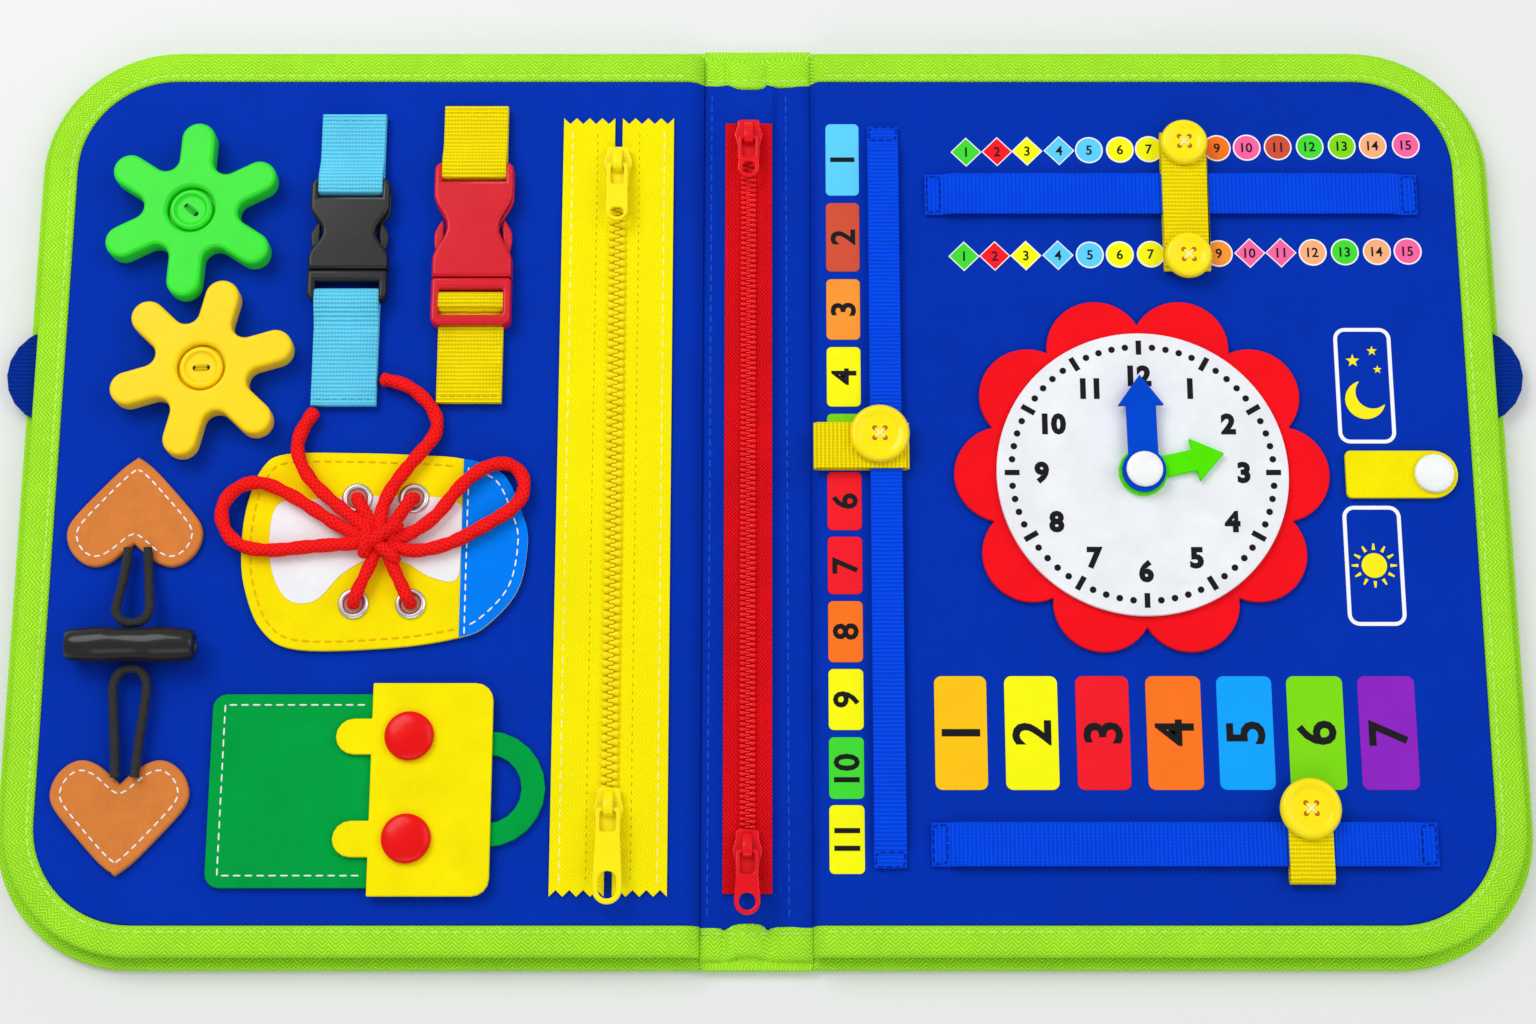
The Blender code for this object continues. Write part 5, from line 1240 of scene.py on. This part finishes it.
def pull(name, matter, x, y, base, long, arm, ring, hole, hole_long):
    """A pull: a cross bar, two arms beside the bridge, a web and a ring."""
    pin = base + pin_rise
    right = [(ring * sin(radians(turn)), y - long + ring - ring * cos(radians(turn)))
             for turn in range(0, 91, 10)]
    right += [(ring, y - long + ring * 0.8 + hole_long * 0.5), (arm, y - 0.0095), (arm, y - 0.0001),
              (arm - 0.0008, y + 0.0007)]
    shape = bmesh.new()
    window = rounded(x - arm + 0.0015, y - 0.0078, x + arm - 0.0015, y - 0.0007, 0.0011)
    eye = rounded(x - hole, y - long + ring - hole, x + hole, y - long + ring - hole + hole_long,
                  min(hole, hole_long / 2) * 0.98)
    cast(shape, [mirrored(right, x), window, eye], pin - 0.00075, pin + 0.00075, 0.0005)
    lathe(shape, [(0.00005, -arm + 0.0006), (0.0008, -arm + 0.0006), (0.0008, arm - 0.0006),
                  (0.00005, arm - 0.0006)], (x, y, pin), 12, "x")
    joined(name + "_cast", shape, matter, name, (name,), 50)


zips = (("yellow", -0.0552, 0.0208, -0.1491, 0.1437, item_low, 0.0134, 4, 0.0024, 0.0030, 0.0029,
         -0.1190, 0.1228, yellow_tape, yellow_teeth, yellow_cast, "left_page",
         (0.02225, 0.0040, 0.0041, 0.0025, 0.0036), (0.03325, 0.0044, 0.0052, 0.0032, 0.0096)),
        ("red", -0.0062, 0.0088, -0.1477, 0.1430, 0.0071, 0.0097, 1, 0.0, 0.0020, 0.0027,
         -0.1333, 0.1352, red_tape, red_beads_painted_highlight, red_cast, "spine",
         (0.01625, 0.0040, 0.0041, 0.0024, 0.0048), (0.02225, 0.0041, 0.0046, 0.0029, 0.0060)))
for (colour, x, half, low_y, high_y, low, high, pinks, notch, pitch, near, from_y, to_y, tape_matter,
     teeth_matter, cast_matter, body, short, long) in zips:
    for side, word in ((-1, "left"), (1, "right")):
        shape = bmesh.new()
        outline = tape_outline(x, side, half, low_y, high_y, pinks, notch, from_y - 0.006,
                               to_y + 0.006)
        cast(shape, [outline], low, low + 0.0009, 0.0002)
        joined(f"{colour}_tape_{word}", shape, tape_matter, body, (f"{colour}_zip_{word}",), 50)
        shape = bmesh.new()
        for index in range(int((to_y - from_y + 0.008) / pitch)):
            y = from_y - 0.004 + (index + (0.5 if side > 0 else 0.0)) * pitch
            tooth(shape, x, side, y, low + 0.0003, high, near, 0.0009, pitch * 0.46)
        closed_up(f"{colour}_teeth_{word}", shape, teeth_matter, body, (), 70)
    base = low + 0.0012
    for place_on, y, sizes, shift in (("upper", to_y, short, 1.6), ("lower", from_y, long, 0.0)):
        slider(f"{colour}_slider_{place_on}", cast_matter, x, y, base, shift)
        pull(f"{colour}_pull_{place_on}", cast_matter, x, y, base, *sizes)
for name, spots, high_y, low_y, level, matter, body, sizes in (
        ("yellow_zip_seams", (-0.0725, -0.0379), 0.1390, -0.1450, 0.01175, thread_pale, "left_page",
         (0.0046, 0.0030, 0.00026)),
        ("yellow_zip_edges", (-0.0631, -0.0473), 0.1380, -0.1440, 0.01175, thread_ochre, "left_page",
         (0.0030, 0.0012, 0.00020)),
        ("red_zip_edges", (-0.0141, 0.0017), 0.1400, -0.1450, 0.00805, thread_red, "spine",
         (0.0034, 0.0020, 0.00022))):
    stitched(name, [lifted(((x, high_y), (x, low_y)), level) for x in spots], matter, body, *sizes)

# Webbing tracks with boxed ends
for name, matter in (("month_webbing", blue_web), ("number_webbing", blue_web_flat),
                     ("day_webbing", blue_web_flat)):
    cloth(name, matter, "blue_webbing", round_off=0.0003, corner=50)
boxes = []
for corners in ((0.0392, -0.1386, 0.0494, -0.1336), (0.0392, 0.1346, 0.0494, 0.1396),
                (0.0606, 0.1058, 0.0656, 0.1198), (0.2389, 0.1058, 0.2439, 0.1198),
                (0.0594, -0.1376, 0.0644, -0.1240), (0.2319, -0.1376, 0.2369, -0.1240)):
    box = oblong(*corners)
    boxes.append(lifted([*box, box[0]], 0.01235))
stitched("webbing_boxes", boxes, thread_navy, "right_page", 0.0030, 0.0022, 0.00026)


def ring_of(x, y, radius, steps=28):
    return arc(x, y, radius, 0, 360 - 360 / steps, steps - 1)


# Pointers: a webbing band with its button, and the button's sewing thread
def split_at(piece, level, matter):
    """Everything of a piece above a level takes a second material."""
    piece.data.materials.append(matter)
    for face in piece.data.polygons:
        face.material_index = int(face.center.z > level)


for name, matter, buttons in (("month_pointer", yellow_web_flat, ((0.0419, 0.0184),)),
                              ("number_pointer", yellow_web, ((0.1572, 0.1320), (0.1572, 0.0872))),
                              ("day_pointer", yellow_web, ((0.1922, -0.1187),))):
    piece = show(name + "_soft", softened(name, 0.0003), matter, name, (name,), 45)
    split_at(piece, 0.01525, button_yellow)
    top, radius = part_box(name)[1][2], 0.0087 if name == "number_pointer" else 0.0108
    rim = [(radius - inset, top + lift) for inset, lift in (
        (0.0040, 0.00008), (0.0033, 0.0003), (0.0024, 0.00075), (0.0015, 0.00080),
        (0.0006, 0.0004), (-0.0001, -0.0006), (0.0, -0.0018))]
    turned(name + "_button", [(0.00005, top + 0.00008), *rim, (0.00005, top - 0.0018)],
           [(x, y, 0) for x, y in buttons], button_yellow, name, (), 56)
    holes, routes = [], []
    for x, y in buttons:
        centre = Vector((x, y, top + 0.0002))
        for turn in (45, 135, 225, 315):
            side = compass(radians(turn))[0] * 0.0027
            holes.append(ring_of(x + side.x, y + side.y, 0.00095, 16))
            if turn < 180:
                routes.append([centre - side, centre + side])
    # Reddish brown discs over the four button holes: painted shade in the holes.
    plates(name + "_painted_hole_shade", holes, top - 0.0004, top + 0.00012, painted_button_hole_shade, name)
    stitched(name + "_thread", routes, thread_pale, name, 0.0054, 0.0050, 0.00050)

# Month, number and day marks: plain printed shapes with plain numbers
print_low, print_high = 0.0102, 0.01074
sky, rust, orange = (0.10, 0.60, 0.92), (0.61, 0.075, 0.034), (0.92, 0.30, 0.028)
lemon, crimson, tangerine = (0.91, 0.90, 0.001), (0.87, 0.007, 0.018), (0.93, 0.17, 0.010)
grass, peach, pink = (0.05, 0.68, 0.029), (0.92, 0.42, 0.20), (0.90, 0.12, 0.34)
gold, violet, leaf = (0.95, 0.53, 0.003), (0.25, 0.012, 0.50), (0.20, 0.69, 0.002)
azure = (0.0, 0.35, 0.94)
print_of = {}


def printed(name, outlines, colour):
    if colour not in print_of:
        print_of[colour] = vinyl(f"print_{len(print_of) + 1}", colour)
    plates(name, outlines, print_low, print_high, print_of[colour], "right_page", 0.0001)


months = ((141.6, 112.9, sky), (109.9, 82.8, rust), (79.8, 56.2, orange), (53.3, 30.4, lemon),
          (27.6, 7.8, leaf), (5.4, -16.4, crimson), (-18.9, -40.2, crimson),
          (-42.8, -65.2, tangerine), (-67.7, -89.8, lemon), (-92.4, -114.5, grass),
          (-116.7, -141.0, lemon))
entries = []
for index, (high_y, low_y, colour) in enumerate(months):
    printed(f"month_mark_{index + 1}",
            [rounded(0.0228, low_y / 1000, 0.0353, high_y / 1000, 0.0018)], colour)
    entries.append((str(index + 1), 0.0291, (low_y + high_y) / 2000, 0.0125, pi / 2, 0.0003))
days = ((60.6, 79.3, gold), (85.7, 104.7, lemon), (111.2, 130.2, crimson), (136.3, 156.0, tangerine),
        (161.7, 181.5, azure), (186.8, 206.9, leaf), (212.3, 232.7, violet))
for index, (low_x, high_x, colour) in enumerate(days):
    printed(f"day_mark_{index + 1}",
            [rounded(low_x / 1000, -0.1113, high_x / 1000, -0.0703, 0.0026)], colour)
    entries.append((str(index + 1), (low_x + high_x) / 2000, -0.0908, 0.0190, pi / 2, 0.0004))
rows = ((130.3, 0.2, 4, (75.8, 87.5, 98.8, 110.9, 122.2, 133.9, 144.8, 157.9, 170.5, 181.8,
                         193.5, 205.6, 217.7, 229.4, 241.9),
         (grass, crimson, lemon, sky, sky, lemon, lemon, orange, tangerine, pink, rust, grass, leaf,
          peach, pink), ()),
        (88.8, 0.14, 4, (74.3, 85.8, 97.4, 109.4, 121.3, 132.5, 144.1, 157.6, 169.5, 181.1,
                         192.7, 204.6, 216.6, 228.6, 240.1),
         (grass, crimson, lemon, sky, sky, lemon, lemon, orange, orange, pink, pink, peach, grass,
          peach, pink), (9, 10)))
white_rings = []
for row, (first_y, climb, diamonds, spots, colours, more) in enumerate(rows):
    for index, (x, colour) in enumerate(zip(spots, colours)):
        y = (first_y + climb * index) / 1000
        square = index < diamonds or index in more
        radius = 0.0056 if square else 0.0050
        outline = ring_of(x / 1000, y, radius, 4 if square else 28)
        printed(f"number_mark_{row + 1}_{index + 1}", [outline], colour)
        white_rings.append(outline)
        entries.append((str(index + 1), x / 1000, y, 0.0052, 0.0, 0.00008))
numbers("mark_numbers", entries, print_high - 0.0001, print_high + 0.00006, ink, "right_page")
for index, outline in enumerate(white_rings):
    band(f"number_edge_{index + 1}", outline, 0.0005, print_low, print_high + 0.00003, white_ink,
         "right_page")

# Frames beside the clock, with a moon and stars above and a sun below
for name, low_x, low_y, high_x, high_y in (("night_frame", 0.2112, 0.0170, 0.2310, 0.0600),
                                           ("day_frame", 0.2110, -0.0512, 0.2308, -0.0080)):
    band(name, rounded(low_x, low_y, high_x, high_y, 0.0036, steps=8), 0.0014, print_low, print_high,
         white_ink, "right_page")
outer, inner = arc(0.2211, 0.0330, 0.0074, 107, 345, 24), arc(0.2238, 0.0358, 0.0062, 141, 311, 24)
plates("night_moon", [[outer[index], outer[index + 1], inner[index + 1], inner[index]]
                      for index in range(24)], print_low, print_high, yellow_ink, "right_page")


def star(x, y, outer, inner, points=5):
    spots = (arc(x, y, radius, turn, turn + 360 - 360 / points, points - 1)
             for radius, turn in ((outer, 90), (inner, 90 + 180 / points)))
    return [spot for pair in zip(*spots) for spot in pair]


plates("night_stars", [star(0.2172, 0.0480, 0.0026, 0.0011), star(0.2245, 0.0518, 0.0020, 0.0008),
                       star(0.2262, 0.0446, 0.0016, 0.0007)], print_low, print_high, yellow_ink,
       "right_page")
sun_at = Vector((0.2209, -0.0296, 0))
rays = [spoke(sun_at, radians(30 * index), 0.0058, 0.0082, 0.0006, 0.0003) for index in range(12)]
plates("day_sun", [ring_of(sun_at.x, sun_at.y, 0.0046, 32), *rays], print_low, print_high,
       yellow_ink, "right_page")

# Clock: felt flower and face, printed bars, dots and numbers, felt hands and snap cap
clock_x, clock_y, face_top = 0.1376, 0.0042, 0.0147
clock_at = Vector((clock_x, clock_y, 0))
face_r = (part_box("clock_face")[1][0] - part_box("clock_face")[0][0]) / 2
petals = []
for petal in range(10):
    turn = 36 * petal
    spot = clock_at + compass(radians(turn))[0] * 0.0505
    petals += arc(spot.x, spot.y, 0.0180, turn - 77.9, turn + 77.9, 18)
pin_hole = arc(clock_x, clock_y, 0.0031, 0, 348, 29)
for name, outline, matter, slot in (
        ("clock_flower", petals, red_felt, "red_felt"),
        ("clock_face", ring_of(clock_x, clock_y, face_r, 120), white_felt, "white_felt")):
    (_, _, low), (_, _, high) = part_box(name)
    shape = bmesh.new()
    cast(shape, [outline, pin_hole], low, high, 0.0004)
    joined(name + "_soft", shape, matter, "right_page", (name,), 50)
bars, dots, hours = [], [], []
for minute in range(60):
    turn = radians(90 - 6 * minute)
    out = compass(turn)[0]
    if minute % 5:
        dots.append(ring_of(*(clock_at + out * 0.0478)[:2], 0.00122, 14))
    else:
        bars.append(spoke(clock_at, turn, 0.0449, 0.0503, 0.0010, 0.0010))
        spot = clock_at + out * 0.0368
        hours.append((str(minute // 5 or 12), spot.x, spot.y, 0.0100, 0.0, 0.00055))
plates("clock_bars", bars + dots, face_top - 0.0003, face_top + 0.00008, ink, "right_page")
numbers("clock_numbers", hours, face_top - 0.0003, face_top + 0.00008, ink, "right_page")
cloth("hour_hand", hand_green, "green_felt", round_off=0.0004)
cloth("minute_hand", hand_blue, "blue_felt", round_off=0.0004)
for name, x, y, radius, low, edge, high, body in (
        ("clock_cap", clock_x, clock_y, 0.0066, 0.0194, 0.0203, 0.0222, "right_page"),
        ("am_pm_cap", 0.2441, 0.0042, 0.0072, 0.0129, 0.0138, 0.0158, "right_page")):
    turned(name, dome(radius, low, edge, high), [(x, y, 0)], white_gloss, body, (), 48)
for name in ("clock_pin", "am_pm_pin"):
    node = frame["nodes"][name]
    node.data.materials.clear()
    node.data.materials.append(white_gloss)
cloth("am_pm_pointer", yellow_felt, "yellow_felt", round_off=0.0003)


# Floor, light and camera
floor_matter, _, floor_shader = tree_of("floor_paint")
put(floor_shader, {"Base Color": (0.78, 0.78, 0.77, 1), "Roughness": 0.9, "Specular IOR Level": 0.1})
shape = bmesh.new()
bmesh.ops.create_grid(shape, x_segments=2, y_segments=2, size=3.0)
floor_mesh = meshed(shape, "floor")
floor_mesh.materials.append(floor_matter)
floor = bpy.data.objects.new("floor", floor_mesh)
scene.collection.objects.link(floor)


def lamp(name, size, power, spot):
    """A rectangular light that faces the middle of the book."""
    light = bpy.data.lights.new(name, "AREA")
    light.shape = "RECTANGLE"
    light.size, light.size_y = size
    light.energy = power
    holder = bpy.data.objects.new(name, light)
    holder.location = spot
    holder.rotation_euler = (-Vector(spot)).to_track_quat("-Z", "Y").to_euler()
    scene.collection.objects.link(holder)


lamp("key_light", (1.1, 0.8), 13.0, (-0.75, 0.75, 1.15))
lamp("fill_light", (1.2, 1.0), 6.0, (1.0, 0.25, 1.05))
lamp("front_light", (1.4, 0.6), 3.6, (0.0, -1.1, 0.9))
world = bpy.data.worlds.new("studio")
world.use_nodes = True
put(world.node_tree.nodes["Background"], {"Color": (0.95, 0.97, 1.0, 1), "Strength": 0.50})
scene.world = world

lens = bpy.data.cameras.new("camera")
lens.lens = 61.1
lens.sensor_width = 36
camera = bpy.data.objects.new("camera", lens)
camera.location = (0.0011, -0.2394, 0.9323)
camera.rotation_euler = (radians(14), 0, 0)
scene.collection.objects.link(camera)
scene.camera = camera
scene.view_settings.view_transform = "Standard"
